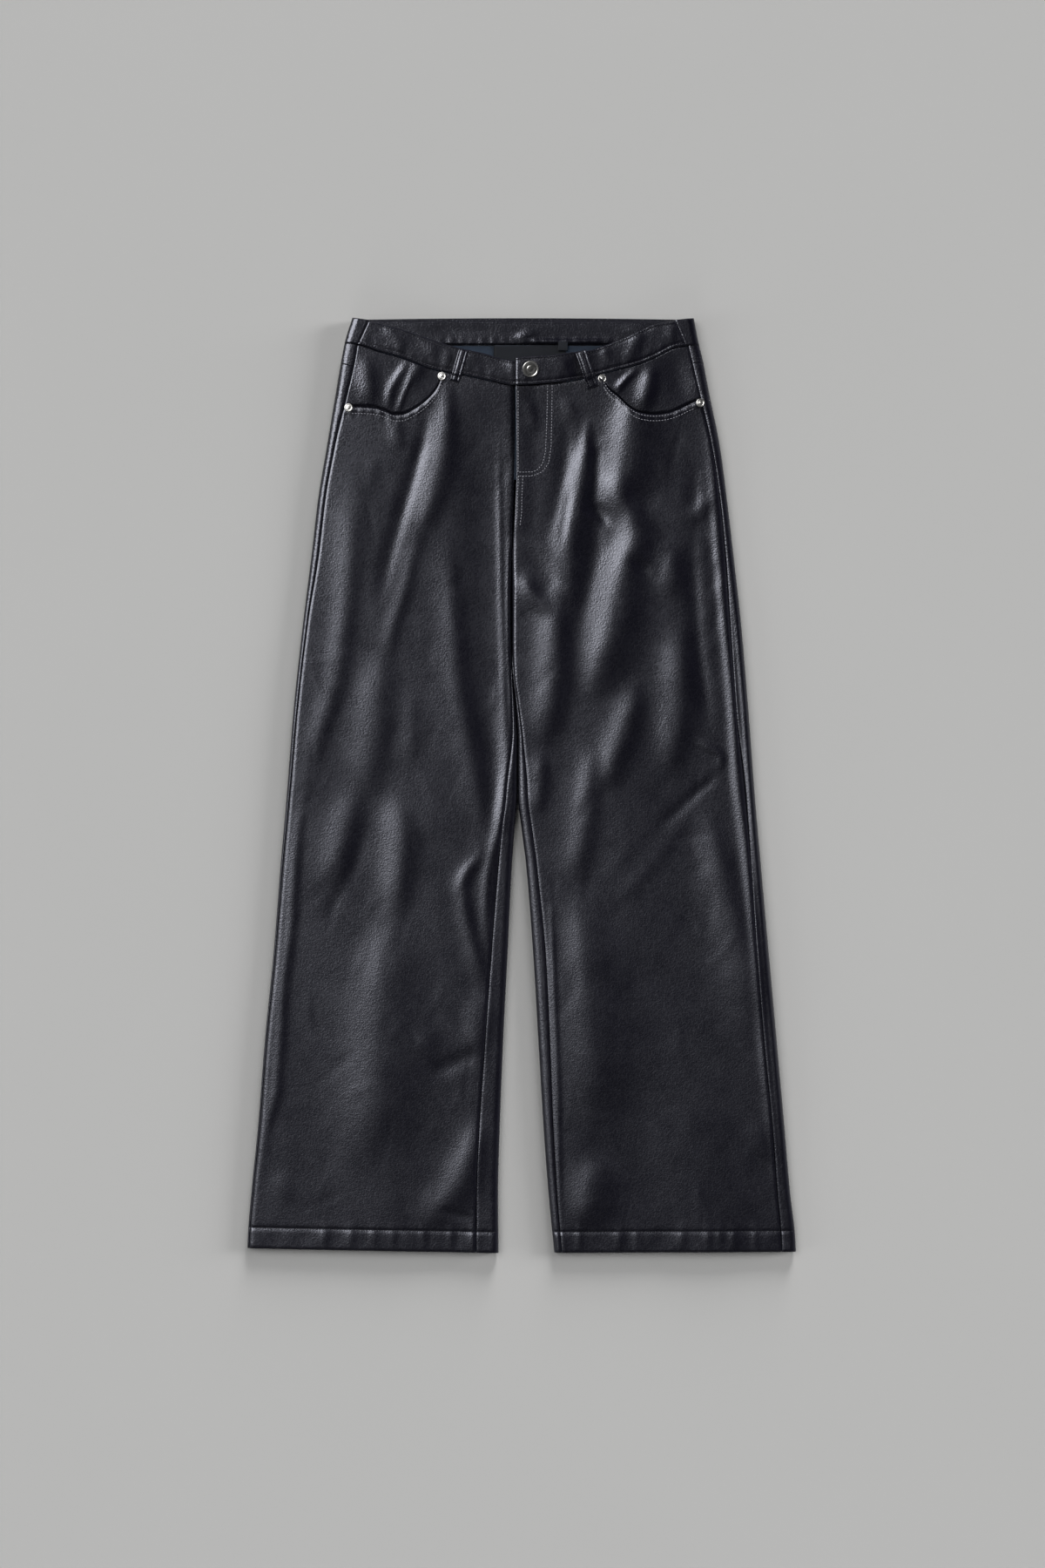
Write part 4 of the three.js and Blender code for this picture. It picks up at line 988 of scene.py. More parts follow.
# %% The turned hem and both fronts
def thicken_hem(piece, side):
    """The hem is turned up once, so the leather is thicker there."""
    group = piece.vertex_groups.new(name="hem")
    mesh = piece.data
    flat = np.empty(len(mesh.vertices) * 3)
    mesh.vertices.foreach_get("co", flat)
    flat = flat.reshape(-1, 3) / MM
    above = side.hem(flat[:, 0]) - (LENGTH / 2 - flat[:, 1])
    inside = np.nonzero(above < HEM_DEPTH)[0]
    group.add([int(i) for i in inside], 1.0, "REPLACE")
    solid = piece.modifiers["thickness"]
    solid.thickness = HEM_LEATHER * MM
    solid.vertex_group = "hem"
    solid.thickness_vertex_group = LEATHER / HEM_LEATHER


for side in (RIGHT, LEFT):
    x, down, z = front_panel(side)
    piece = cloth(
        f"leg_front_{side.name}", f"front_{side.name}_panel", x, down, z, LEATHER_FACE,
        inside=BACKING,
    )
    thicken_hem(piece, side)

# %% [markdown]
# ## Back leg panels and yokes
# The back lies flat on the floor. Its edges come round both side folds and end at the seams that
# show on top, so its grid runs from one seam, round the fold, across the underside and up to the
# other seam. Soft dents pressed up into the underside answer the folds of the front.

# %% Dents of the underside
BACK_DENTS = {
    "right": [
        ("seat", 1.3, [(-60, 160, 10), (-110, 230, 13), (-150, 330, 11)]),
        ("under knee", 1.6, [(-90, 520, 9), (-140, 580, 12), (-215, 640, 9)]),
        ("under knee two", 1.2, [(-70, 600, 8), (-130, 650, 9), (-190, 700, 7)]),
        ("calf", 1.1, [(-230, 760, 10), (-200, 860, 12), (-180, 960, 9)]),
    ],
    "left": [
        ("seat", 1.3, [(60, 150, 10), (100, 240, 13), (150, 320, 11)]),
        ("under knee", 1.6, [(80, 540, 9), (150, 590, 12), (220, 660, 9)]),
        ("under knee two", 1.2, [(60, 620, 8), (120, 660, 9), (180, 730, 7)]),
        ("calf", 1.1, [(240, 780, 10), (200, 880, 12), (160, 980, 9)]),
    ],
}
BACK_BEADS = {name: [beads_of(dent) for dent in dents] for name, dents in BACK_DENTS.items()}
print("dents:", {name: len(dents) for name, dents in BACK_DENTS.items()})


# %% Columns and rows of the back
def back_columns(side, outer_count, flat_count, inner_count):
    """(fold, p as a function of down) for every column round one half of the back."""
    columns = []
    for t in np.linspace(0, 1, outer_count + 1):
        columns.append(("outer", lambda d, t=t: blend(outseam_p(side, d) - SEAM_STEP, -1, t)))
    for t in np.linspace(0, 1, flat_count + 1)[1:-1]:
        def flat_p(d, t=t):
            start = side.outer(d) - side.sign * BOTTOM_ROLL
            end = side.inner(d) + side.sign * BOTTOM_ROLL
            return -inset_to_p(np.abs(blend(start, end, t) - side.outer(d)), BOTTOM_ROLL)
        columns.append(("outer", flat_p))
    for t in np.linspace(0, 1, inner_count + 1):
        columns.append(("inner", lambda d, t=t: blend(-1, side.inseam(d) - SEAM_STEP, t)))
    return columns


def back_sheet(side, columns, top_edge, bottom_edge, starts, rows_of, height):
    xs, downs, zs = [], [], []
    for fold, place in columns:
        top = settle(top_edge, lambda d: side_x(side, fold, d, place(d)), np.array([starts[0]]))
        end = settle(bottom_edge, lambda d: side_x(side, fold, d, place(d)), np.array([starts[1]]))
        down = rows_of(top, end)
        p = place(down)
        x, z = side_points(side, fold, down, p, height)
        under = np.clip(-p - 1, 0, 1.5) / 1.5
        z = z + under * folds_height(BACK_BEADS[side.name], x, down)
        seam = outseam_p(side, down) if fold == "outer" else side.inseam(down)
        turned = seam_turn(np.abs(p - seam) * STEP_BEYOND_ROLL) * ease(0.2, 0.8, p)
        xs.append(x)
        downs.append(down)
        zs.append(z + turned)
    return tuple(np.concatenate(parts, axis=1) for parts in (xs, downs, zs))


# %% Yoke seam, and the pieces of the back
def yoke_seam(x):
    return blend(53.0, 100.0, np.clip(1 - np.abs(x + 7) / 200, 0, 1))


def back_seam(x):
    return blend(BACK_BAND_DEPTH, front_seam(x), ease(170, 188, np.abs(x)))


def even_rows(count):
    shares = np.linspace(0, 1, count + 1)[:, None]
    return lambda top, end: blend(top[None, :], end[None, :], shares)


for side in (RIGHT, LEFT):
    columns = back_columns(side, 16, 22, 22)
    x, down, z = back_sheet(
        side, columns, lambda v: yoke_seam(v) + SEAM_GAP, side.hem, (80.0, HEM_GUESS),
        lambda top, end: leg_rows(top, end, 240), leg_height,
    )
    piece = cloth(
        f"leg_back_{side.name}", f"back_{side.name}_panel", x, down, z, LEATHER_FACE,
        upwards=False, inside=BACKING,
    )
    thicken_hem(piece, side)
    x, down, z = back_sheet(
        side, back_columns(side, 14, 20, 8), lambda v: back_seam(v) + SEAM_GAP, yoke_seam,
        (40.0, 70.0), even_rows(24), plain_height,
    )
    cloth(
        f"yoke_{side.name}", f"back_{side.name}_yoke", x, down, z, LEATHER_FACE, upwards=False,
        inside=BACKING,
    )

# %% [markdown]
# ## Pocket facings
# Inside each curved mouth a second layer of leather shows. It lies a little deeper than the
# front and tucks under it. Pulled by the pocket, it has two long soft streaks.

# %% Folds of the facings
FACING_FOLDS = {
    "right": [
        ("streak", 1.0, [(-133, 50, 4), (-145, 68, 4.5), (-154, 84, 5), (-158, 108, 4.5)]),
        ("thin streak", 0.6, [(-127, 66, 2.5), (-137, 88, 3), (-146, 112, 3)]),
        ("upper patch", 1.5, [(-122, 50, 8), (-130, 64, 9), (-138, 78, 8)]),
        ("soft patch", 1.6, [(-188, 48, 9), (-184, 75, 10), (-182, 102, 9)]),
    ],
    "left": [
        ("upper streak", 0.9, [(131, 58, 3.5), (118, 70, 4), (103, 84, 3.5)]),
        ("thin streak", 0.5, [(122, 66, 2.5), (113, 77, 3), (106, 90, 2.5)]),
        ("soft streak", 2.3, [(143, 58, 7), (137, 82, 9), (130, 108, 9)]),
        ("dark side", -1.6, [(160, 45, 12), (168, 70, 14), (176, 95, 12)]),
    ],
}
FACING_BEADS = {name: [beads_of(fold) for fold in folds] for name, folds in FACING_FOLDS.items()}
FACING_TUCK, FACING_PAST_END = 12, 7
print("folds of the facings:", {name: len(folds) for name, folds in FACING_FOLDS.items()})


# %% Pocket facings
def facing_height(side, x, down):
    return base_height(down) + folds_height(FACING_BEADS[side.name], x, down)


def pocket_facing(side, columns=70, rows=46):
    shares = np.linspace(0, 1, columns + 1)
    inner_x = side.mouth_end - side.sign * FACING_PAST_END

    def mouth_down(x):
        return side.mouth(np.where(side.past_mouth(x) > 0, x, side.mouth_end))

    def column_x(down):
        seam_x = side_x(side, "outer", down, outseam_p(side, down) + SEAM_STEP)
        return blend(seam_x, inner_x, shares)

    top = settle(lambda x: front_seam(x) + BAND_GAP, column_x, np.full(shares.shape, 50.0))
    end = settle(lambda x: mouth_down(x) + FACING_TUCK, column_x, np.full(shares.shape, 100.0))
    down = even_rows(rows)(top, end)
    seam_x = side_x(side, "outer", down, outseam_p(side, down) + SEAM_STEP)
    x = blend(seam_x, inner_x, shares[None, :])
    z = upper_z(side, x, down, facing_height)
    opened = ease(0.3, 2.4, mouth_down(x) - down) * ease(0.4, 4.0, side.past_mouth(x))
    return x, down, z - blend(LEATHER + 0.7, 0.3, opened)


for side in (RIGHT, LEFT):
    x, down, z = pocket_facing(side)
    cloth(f"pocket_facing_{side.name}", f"{side.name}_pocket_facing", x, down, z, LEATHER_TRIM)

# %% [markdown]
# ## Waistband
# The front band is folded double, so it stands a little proud and has round edges. It is stitched
# along both edges. The wearer's left end laps over the right one and carries the button. The back
# band wraps round both ends of the waist, and its inside shows through the open waist.

# %% Edges and folds of the front bands
UNDERLAP_X, OVERLAP_X = 24.0, -7.4
BAND_ROLL = 2.2
BAND_STITCH = 3.4


def edge_round(distance_a, distance_b, drop=1.3, width=BAND_ROLL):
    """How far a folded strip falls off towards its two long edges."""
    return -drop * ((1 - roll(distance_a / width)) + (1 - roll(distance_b / width)))


def spaced(distances, total):
    """Shares of a width with close lines near both edges."""
    near = np.array(distances) / total
    middle = np.linspace(near[-1], 1 - near[-1], 12)[1:-1]
    return np.concatenate([near, middle, 1 - near[::-1]])


BAND_FOLDS = {
    "right": [
        ("side", 0.9, [(-160, 12, 6), (-150, 24, 8), (-142, 40, 6)]),
        ("middle", 0.7, [(-112, 30, 6), (-104, 46, 6)]),
        ("by the loop", 0.6, [(-92, 38, 5), (-86, 54, 5)]),
        ("by the fly", 1.2, [(-20, 44, 5), (-15, 52, 6), (-14, 68, 5)]),
        ("low wave", -0.5, [(-55, 46, 8), (-42, 62, 8)]),
    ],
    "left": [
        ("side", 1.1, [(132, 20, 6), (122, 34, 8), (116, 52, 6)]),
        ("outer", 0.8, [(168, 10, 6), (164, 30, 7)]),
        ("middle", 0.7, [(42, 48, 6), (46, 68, 6)]),
        ("by the loop", 0.6, [(90, 36, 5), (96, 54, 6)]),
    ],
}


# %% Front waistbands
def front_band(side, end_x, limit_x, lap):
    u = np.linspace(0, 1, 111)[None, :]
    v = spaced([0, 0.35, 0.8, 1.4, 2.0, 2.6, 3.2, 4.0], 32)[:, None]
    top_x = blend(side.sign * (BAND_SIDE_TOP - SEAM_GAP), end_x, u)
    seam_x = blend(side.sign * (BAND_SIDE_SEAM - SEAM_GAP), end_x, u)

    def limited(x):
        return np.maximum(x, limit_x) if side.sign > 0 else np.minimum(x, limit_x)

    rise = 1.2 * ((side.sign < 0) & (seam_x > -8))
    lower = np.minimum(front_seam(limited(seam_x)), front_seam(seam_x) - rise)
    upper = front_edge(limited(top_x))
    down = blend(upper, lower, v)
    x = blend(top_x, seam_x, v)
    height = base_height(down)
    lap_rise = (BAND_LEATHER + SEAM_GAP) * (1 - ease(34, 92, x)) if lap else 0 * x
    from_outer = np.abs(x - side.outer(down))
    drop = (height - outer_tip(down)) * (1 - roll(from_outer / TOP_ROLL))
    from_top, from_low = down - upper, lower - down
    z = height + BAND_PROUD + lap_rise - drop + edge_round(from_top, from_low)
    z = z - 0.3 * bell(from_top - BAND_STITCH, 0.8) - 0.6 * bell(from_low - BAND_STITCH, 1.0)
    z = z + pucker(x, from_low - 6, 13, 0.09, 6) + pucker(x + 5, from_top - 6, 19, 0.07, 6)
    z = z + folds_height([beads_of(fold) for fold in BAND_FOLDS[side.name]], x, down + 0 * x)
    end_distance = np.abs(x - end_x)
    z = z - 1.0 * (1 - roll(end_distance / 2.0))
    return x, down + 0 * x, z


x, down, z = front_band(RIGHT, UNDERLAP_X, -8.0, False)
cloth("band_front_right", "waistband_front_right", x, down, z, LEATHER_TRIM, BAND_LEATHER - 0.3)
x, down, z = front_band(LEFT, OVERLAP_X, -4.9, True)
cloth("band_front_left", "waistband_front_left", x, down, z, LEATHER_TRIM, BAND_LEATHER - 0.3)

# %% [markdown]
# ## Back waistband and the inside of the waist
# The back band is one strip that wraps round both ends of the waist, so its columns go round the
# side folds as a leg's do. Across the open waist its facing shows, with a soft roll along its
# lower edge where it was turned. Below the open edge of the fly lies the underlay. Facing and
# underlay lie flat, so a plain grid is enough for each, with a few folds in the facing.

# %% Back waistband
WAIST_HALF = 195.0
WAIST_DIP = 2.0


def back_band():
    columns = []
    wrap = 1 - (1 - np.linspace(0, 1, 26)) ** 1.6
    for t in wrap:
        columns.append((RIGHT, "wrap", t))
    for t in np.linspace(0, 1, 41)[1:-1]:
        columns.append((RIGHT if t < 0.5 else LEFT, "flat", t))
    for t in wrap[::-1]:
        columns.append((LEFT, "wrap", t))
    v = spaced([0, 0.5, 1.1, 1.8, 2.6, 3.6], 31)
    grid = np.zeros((3, len(v), len(columns)))
    for c, (side, kind, t) in enumerate(columns):
        seam_x = side.sign * blend(BAND_SIDE_TOP, BAND_SIDE_SEAM, v)

        def place(down):
            if kind == "wrap":
                front = inset_to_p(np.abs(seam_x - side.outer(down)), TOP_ROLL)
                return blend(front, -1, t)
            start, end = RIGHT.outer(down) + BOTTOM_ROLL, LEFT.outer(down) - BOTTOM_ROLL
            return -inset_to_p(np.abs(blend(start, end, t) - side.outer(down)), BOTTOM_ROLL)

        middle = blend(2, BACK_BAND_DEPTH - 2, v)
        p = place(middle)
        x = side_x(side, "outer", middle, p)
        flat_top = WAIST_DIP * (x / WAIST_HALF) ** 2
        top = np.where(p > 0, blend(front_edge(x), 1.5, 0.4), flat_top)
        down = blend(top, back_seam(x), v)
        p = place(down)
        x, z = side_points(side, "outer", down, p, plain_height)
        proud = BAND_PROUD * ease(-0.9, 0.2, p)
        rounded = edge_round(down - top, back_seam(x) - down, 0.9) * ease(0.1, 0.9, p)
        grid[0, :, c], grid[1, :, c], grid[2, :, c] = x, down, z + (proud + rounded) * (p > 0)
    return grid


x, down, z = back_band()
cloth("band_back", "waistband_back", x, down, z, LEATHER_TRIM, LEATHER, upwards=False)


# %% Waist facing and fly underlay
def inner_layer(x, to_x, down, to_down, columns, rows):
    across_x = np.linspace(x, to_x, columns + 1)[None, :]
    along = np.linspace(down, to_down, rows + 1)[:, None]
    return across_x + 0 * along, along + 0 * across_x


ON_BACK_BAND = BACK_LIFT + LEATHER + SEAM_GAP
FACING_LEATHER = 1.2
INSIDE_FOLDS = [
    ("waist bump", 1.1, [(-10, 26, 4), (-1, 20, 5), (13, 18, 5)]),
    ("waist roll", 1.2, [(-6, 26, 2.5), (40, 27, 2.8), (105, 26, 2.5)]),
    ("waist dip", -0.6, [(-120, 16, 8), (-70, 14, 9), (-20, 16, 8)]),
    ("waist swell", 0.7, [(110, 12, 8), (140, 16, 9)]),
]
INSIDE_TOP, INSIDE_END, INSIDE_STITCH = 3.5, 30.5, 6.5
x, down = inner_layer(-181, 183, INSIDE_TOP, INSIDE_END, 150, 22)
z = ON_BACK_BAND + FACING_LEATHER + edge_round(down - INSIDE_TOP, INSIDE_END - down, 0.7, 1.6)
z = z + folds_height([beads_of(fold) for fold in INSIDE_FOLDS], x, down)
z = z - 0.25 * bell(down - INSIDE_STITCH, 0.8) + pucker(x, down - 27, 12, 0.15, 5)
cloth("waist_inside", "back_waist_facing", x, down, z, LEATHER_TRIM, FACING_LEATHER)

UNDERLAY_DROP = 1.6
x, down = inner_layer(-12.5, 36, 80, 186, 14, 26)
z = base_height(down) - LEATHER - UNDERLAY_DROP + 0 * x
cloth("fly_underlay", "fly_shield", x, down, z, BACKING, LEATHER)

# %% [markdown]
# ## Labels
# A woven label and a small size tab are sewn below the inside of the waistband. Both are left
# bare. They are thin ribbon with a little curl, so a plain grid with a soft wave does.

# %% Waist label and size tab
LABEL_CLOTH = 1.0
LABEL_FROM, LABEL_TO = -32, 51
TAB_TOP = 27
x, down = inner_layer(LABEL_FROM, LABEL_TO, 31.2, 76, 40, 22)
z = ON_BACK_BAND + LABEL_CLOTH + 0.25 * np.sin((x - LABEL_FROM) / 13) * ease(31, 50, down)
z = z - 0.4 * bell(x - LABEL_FROM, 1.0) - 0.4 * bell(x - LABEL_TO, 1.0)
cloth("label_waist", "waist_label", x, down, z, SATIN, LABEL_CLOTH)
x, down = inner_layer(42, 53, TAB_TOP, TAB_TOP + 11, 10, 10)
z = ON_BACK_BAND + FACING_LEATHER + SEAM_GAP + LABEL_CLOTH + 0.3 * np.sin((down - TAB_TOP) / 5)
cloth("label_size", "size_tab", x, down, z, SATIN, LABEL_CLOTH)

# %% [markdown]
# ## Belt loops
# A belt loop is a folded strip with two rows of stitches. It lies over the waistband and is
# tacked at both ends, so its middle stands up a little. Its height is read from the pieces below
# it, and the same helper later seats every stitch.

# %% Reading the height of the finished pieces
def height_at(x, down):
    """Height in millimetres of the highest surface at a place on the garment."""
    origin = Vector((x * MM, (LENGTH / 2 - down) * MM, 0.1))
    hits = (tree.ray_cast(origin, Vector((0, 0, -1))) for tree in surfaces)
    heights = [hit[0].z for hit in hits if hit[0] is not None]
    return max(heights) / MM if heights else 0.0


# %% A belt loop in front
FRONT_LOOPS = [
    ("front_right", (-66.5, 37.3), (-77, 74.2), 11),
    ("front_left", (67.5, 39.8), (81.9, 81.5), 13),
]
BACK_LOOPS = [("back_right", -120), ("back_centre", 0), ("back_left", 121)]
LOOP_SEAM = 0.27


def front_loop(start, end, width, rows=30):
    """A loop's grid of points between the middles of its two ends, given as (x, down)."""
    (x0, d0), (x1, d1) = start, end
    length = math.hypot(x1 - x0, d1 - d0)
    ax, ad = (x1 - x0) / length, (d1 - d0) / length
    v = np.linspace(0, 1, rows + 1)[:, None]
    offset = (spaced([0, 0.3, 0.8, 1.4], width)[None, :] - 0.5) * width
    x = x0 + ax * length * v - ad * offset
    down = d0 + ad * length * v + ax * offset
    bed = np.empty(rows + 1)
    for i, share in enumerate(v[:, 0]):
        cx, cd = x0 + ax * length * share, d0 + ad * length * share
        bed[i] = max(
            height_at(cx - ad * shift * width, cd + ax * shift * width + step)
            for shift in (-0.45, 0, 0.45) for step in (-2, 0, 2)
        )
    arch = 1.0 * 4 * v * (1 - v)
    z = bed[:, None] + SEAM_GAP + LOOP_LEATHER + arch + 0 * x
    from_a, from_b = offset + width / 2, width / 2 - offset
    z = z + edge_round(from_a, from_b, 1.0, 1.5)
    z = z - 0.45 * bell(np.abs(offset) - width * LOOP_SEAM, 0.7)
    ends = np.minimum(v, 1 - v) * length
    return x, down, z - 0.8 * (1 - roll(ends / 1.6))


# %% Belt loops in front and at the back
for name, start, end, width in FRONT_LOOPS:
    x, down, z = front_loop(start, end, width)
    cloth(f"loop_{name}", f"belt_loop_{name}", x, down, z, LEATHER_TRIM, LOOP_LEATHER)
for name, middle in BACK_LOOPS:
    x, down = inner_layer(middle - 6, middle + 6, 3, 44, 8, 20)
    cloth(f"loop_{name}", f"belt_loop_{name}", x, down, LOOP_LEATHER + 0 * x, LEATHER_TRIM,
          LOOP_LEATHER, keep_surface=False)

# %% [markdown]
# ## Rivets and button
# The hardware is turned: a profile is spun round its axis. Each piece is then tilted like the
# cloth below it and set down in place. Their faces carry plain rings only.

# %% Profiles and places of the hardware
RIVET_RINGS = [
    (4.7, 0.0), (4.95, 0.25), (4.95, 0.7), (4.6, 1.15), (4.1, 1.35), (3.6, 1.25), (3.3, 1.0),
    (3.0, 0.95), (2.7, 1.1), (2.2, 1.15), (1.6, 1.05), (1.3, 1.3), (0.9, 1.55), (0.4, 1.65),
]
BUTTON_RINGS = [
    (3.0, 0.0), (3.0, 2.5), (8.4, 2.7), (9.1, 3.1), (9.4, 3.7), (9.3, 4.4), (8.9, 4.85),
    (8.4, 4.95), (7.9, 4.75), (7.6, 4.35), (7.0, 4.25), (6.4, 4.4), (5.6, 4.45), (4.9, 4.25),
    (4.4, 4.25), (4.0, 4.55), (3.2, 4.8), (2.0, 4.95), (0.8, 5.0),
]
RIVETS = [
    ("right_outer", -198.4, 104), ("right_inner", -91.4, 68),
    ("left_inner", 92.5, 70.6), ("left_outer", 205, 98.5),
]
RIVET_LEAN = 0.06
BUTTON_PLACE, BUTTON_LEAN = (9.7, 60), (0.12, -0.3, 1)
print("rivet across", 2 * max(RIVET_RINGS)[0], "mm, button across", 2 * max(BUTTON_RINGS)[0], "mm")


# %% Turned hardware
def turned(name, node, rings, steps=48):
    """Spins a profile into a nickel piece and hides its CAD node."""
    bm = bmesh.new()
    points = [bm.verts.new((radius * MM, 0, height * MM)) for radius, height in rings]
    edges = [bm.edges.new(pair) for pair in zip(points, points[1:])]
    bmesh.ops.spin(
        bm, geom=points + edges, cent=(0, 0, 0), axis=(0, 0, 1), dvec=(0, 0, 0),
        angle=2 * math.pi, steps=steps, use_merge=True, use_normal_flip=False,
    )
    bmesh.ops.remove_doubles(bm, verts=bm.verts, dist=1e-6)
    open_edges = [edge for edge in bm.edges if edge.is_boundary]
    bmesh.ops.holes_fill(bm, edges=open_edges, sides=0)
    bmesh.ops.recalc_face_normals(bm, faces=bm.faces)
    mesh = bpy.data.meshes.new(name)
    bm.to_mesh(mesh)
    bm.free()
    mesh.shade_smooth()
    piece = bpy.data.objects.new(name, mesh)
    bpy.context.scene.collection.objects.link(piece)
    mesh.materials.append(NICKEL)
    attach(piece, "root")
    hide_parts(node)
    return piece


# %% Setting the hardware down
def set_down(piece, node, x, down, lean):
    """Tilts a piece like the cloth below it and puts it on the bottom of its CAD node."""
    low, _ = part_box(node)
    tilt = Vector((0, 0, 1)).rotation_difference(Vector(lean).normalized()).to_matrix().to_4x4()
    piece.data.transform(tilt)
    bottom = min(v.co.z for v in piece.data.vertices)
    place = (x * MM, (LENGTH / 2 - down) * MM, low.z - bottom)
    piece.data.transform(Matrix.Translation(place))
    print(piece.name, "top at", round(max(v.co.z for v in piece.data.vertices) / MM, 1), "mm")


for name, x_at, down_at in RIVETS:
    node = f"rivet_{name}"
    piece = turned(f"stud_{name}", node, RIVET_RINGS)
    set_down(piece, node, x_at, down_at, (math.copysign(RIVET_LEAN, x_at), 0, 1))
button = turned("button_waist", "waist_button", BUTTON_RINGS, 64)
set_down(button, "waist_button", *BUTTON_PLACE, BUTTON_LEAN)

# %% [markdown]
# ## Stitches
# Sewing shows as short dashes of thread, each pulled a little into the leather. They could be
# bump in the leather, but from close by a real stitch stands up and catches light. So one stitch
# is a small rounded grain, and a row of them follows a line on the garment. Rows that run beside
# each other make the double seams at the pockets and the fly.

# %% One row of stitches
def walk(points, pitch):
    """Evenly spaced places along a line given by its corners."""
    points = np.array(points, float)
    spans = np.hypot(*np.diff(points, axis=0).T)
    total = np.concatenate([[0], np.cumsum(spans)])
    count = max(2, int(round(total[-1] / pitch)) + 1)
    at = np.linspace(0, total[-1], count)
    return np.stack([np.interp(at, total, points[:, 0]), np.interp(at, total, points[:, 1])], 1)


def sew(bm, line, pitch=3.4, thread=0.34, share=0.72, sink=0.02):
    """Adds a row of stitches on top of the finished pieces along a line of (x, down)."""
    places = walk(line, pitch)
    for (x0, d0), (x1, d1) in zip(places, places[1:]):
        x1, d1 = blend(x0, x1, share), blend(d0, d1, share)
        start = Vector((x0, LENGTH / 2 - d0, height_at(x0, d0)))
        end = Vector((x1, LENGTH / 2 - d1, height_at(x1, d1)))
        way = end - start
        if way.length > pitch * 1.6:
            continue
        middle = (start + end) / 2 + Vector((0, 0, thread * 0.4 - sink))
        turn = way.to_track_quat("X", "Z").to_matrix().to_4x4()
        size = Matrix.Diagonal((way.length / 2 * MM, thread * MM, thread * 0.7 * MM, 1))
        bmesh.ops.create_uvsphere(
            bm, u_segments=6, v_segments=4, radius=1.0,
            matrix=Matrix.Translation(middle * MM) @ turn @ size,
        )


# %% Rows of stitches as a piece
# By default stitches use the dark grey thread, whose colour is a painted highlight.
def stitched(name, lines, pitch=3.4, thread=0.34, material=PAINTED_HIGHLIGHT_THREAD):
    bm = bmesh.new()
    for line in lines:
        sew(bm, line, pitch, thread)
    mesh = bpy.data.meshes.new(name)
    bm.to_mesh(mesh)
    bm.free()
    mesh.shade_smooth()
    mesh.materials.append(material)
    piece = bpy.data.objects.new(name, mesh)
    bpy.context.scene.collection.objects.link(piece)
    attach(piece, "root")
    print(f"{name}: {len(mesh.polygons)} faces")
    return piece


# %% Stitches of pockets, hems and yokes
YOKE_BARS = (46.5, 50.0, 54.5)
LOWER_BAND_ROW = 3.2


def along_x(x_from, x_to, down_of, step=6.0):
    count = max(2, round(abs(x_to - x_from) / step) + 1)
    return [(float(x), float(down_of(x))) for x in np.linspace(x_from, x_to, count)]


for side in (RIGHT, LEFT):
    sign = side.sign
    near, far = side.mouth_end + sign * 4, side.mouth_end + sign * 108
    rows = [along_x(near, far, lambda x: side.mouth(x) + depth) for depth in POCKET_ROWS]
    stitched(f"stitch_pocket_{side.name}", rows)
    outer_end, inner_end = side.outer(1050) - sign * 2, side.inner(1050) + sign * 2
    hem_row = along_x(outer_end, inner_end, lambda x: side.hem(x) - HEM_DEPTH + 0.4)
    stitched(f"stitch_hem_{side.name}", [hem_row], 3.8, 0.36, DARK_THREAD)
    bars = []
    for down in YOKE_BARS:
        outer = float(side.outer(down))
        seam = float(side.outer(down) - sign * side.outseam(down))
        bars.append([(outer - sign * 2, down), (seam + sign * 1, down)])
    stitched(f"stitch_yoke_{side.name}", bars, 2.6, 0.3, DARK_THREAD)

# %% Stitches of the waistband and the belt loops
stitched(
    "stitch_band_right",
    [
        along_x(-168, -9, lambda x: front_edge(x) + BAND_STITCH),
        along_x(-180, -9, lambda x: front_seam(x) - LOWER_BAND_ROW),
    ],
    material=DARK_THREAD,
)
stitched(
    "stitch_band_left",
    [
        along_x(-3.5, 168, lambda x: front_edge(x) + BAND_STITCH),
        along_x(-4.5, 180, lambda x: front_seam(x) - LOWER_BAND_ROW),
        [(-4.6, 50.5), (-4.6, 74)],
    ],
    material=DARK_THREAD,
)
loop_rows = {"right": [], "left": []}
for name, (x0, d0), (x1, d1), width in FRONT_LOOPS:
    length = math.hypot(x1 - x0, d1 - d0)
    ax, ad = (x1 - x0) / length, (d1 - d0) / length
    for offset in (-LOOP_SEAM * width, LOOP_SEAM * width):
        start = (x0 - ad * offset + ax * 3, d0 + ax * offset + ad * 3)
        end = (x1 - ad * offset - ax * 3, d1 + ax * offset - ad * 3)
        loop_rows["right" if x0 < 0 else "left"].append([start, end])
for name, rows in loop_rows.items():
    stitched(f"stitch_loop_{name}", rows, 2.8, 0.28, DARK_THREAD)

# %% [markdown]
# ## The fly's stitching
# A double row runs straight down from the waistband and curves back to the front edge, where it
# holds the zip's tape and the underlay. Below it a pair of rows closes the centre seam. The lines
# have few points, because the short stitches round off the curve by themselves.

# %% The fly's stitching
FLY_OUTER = [(35, 78), (34.6, 110), (33.8, 148), (31, 167), (26, 175), (20, 179.5), (10, 182.5),
             (-4, 182.5)]
FLY_INNER = [(29.8, 78), (29, 115), (27.4, 154), (24, 168), (19, 174.5), (13, 177.6), (-4, 178)]
CENTRE = [(-3.6, 182), (-4.8, 205), (-5, 224), (-7, 240)]
stitched(
    "stitch_fly",
    [FLY_OUTER, FLY_INNER, CENTRE, [(x + 5, down) for x, down in CENTRE], [(-4, 178), (-4, 84)]],
)
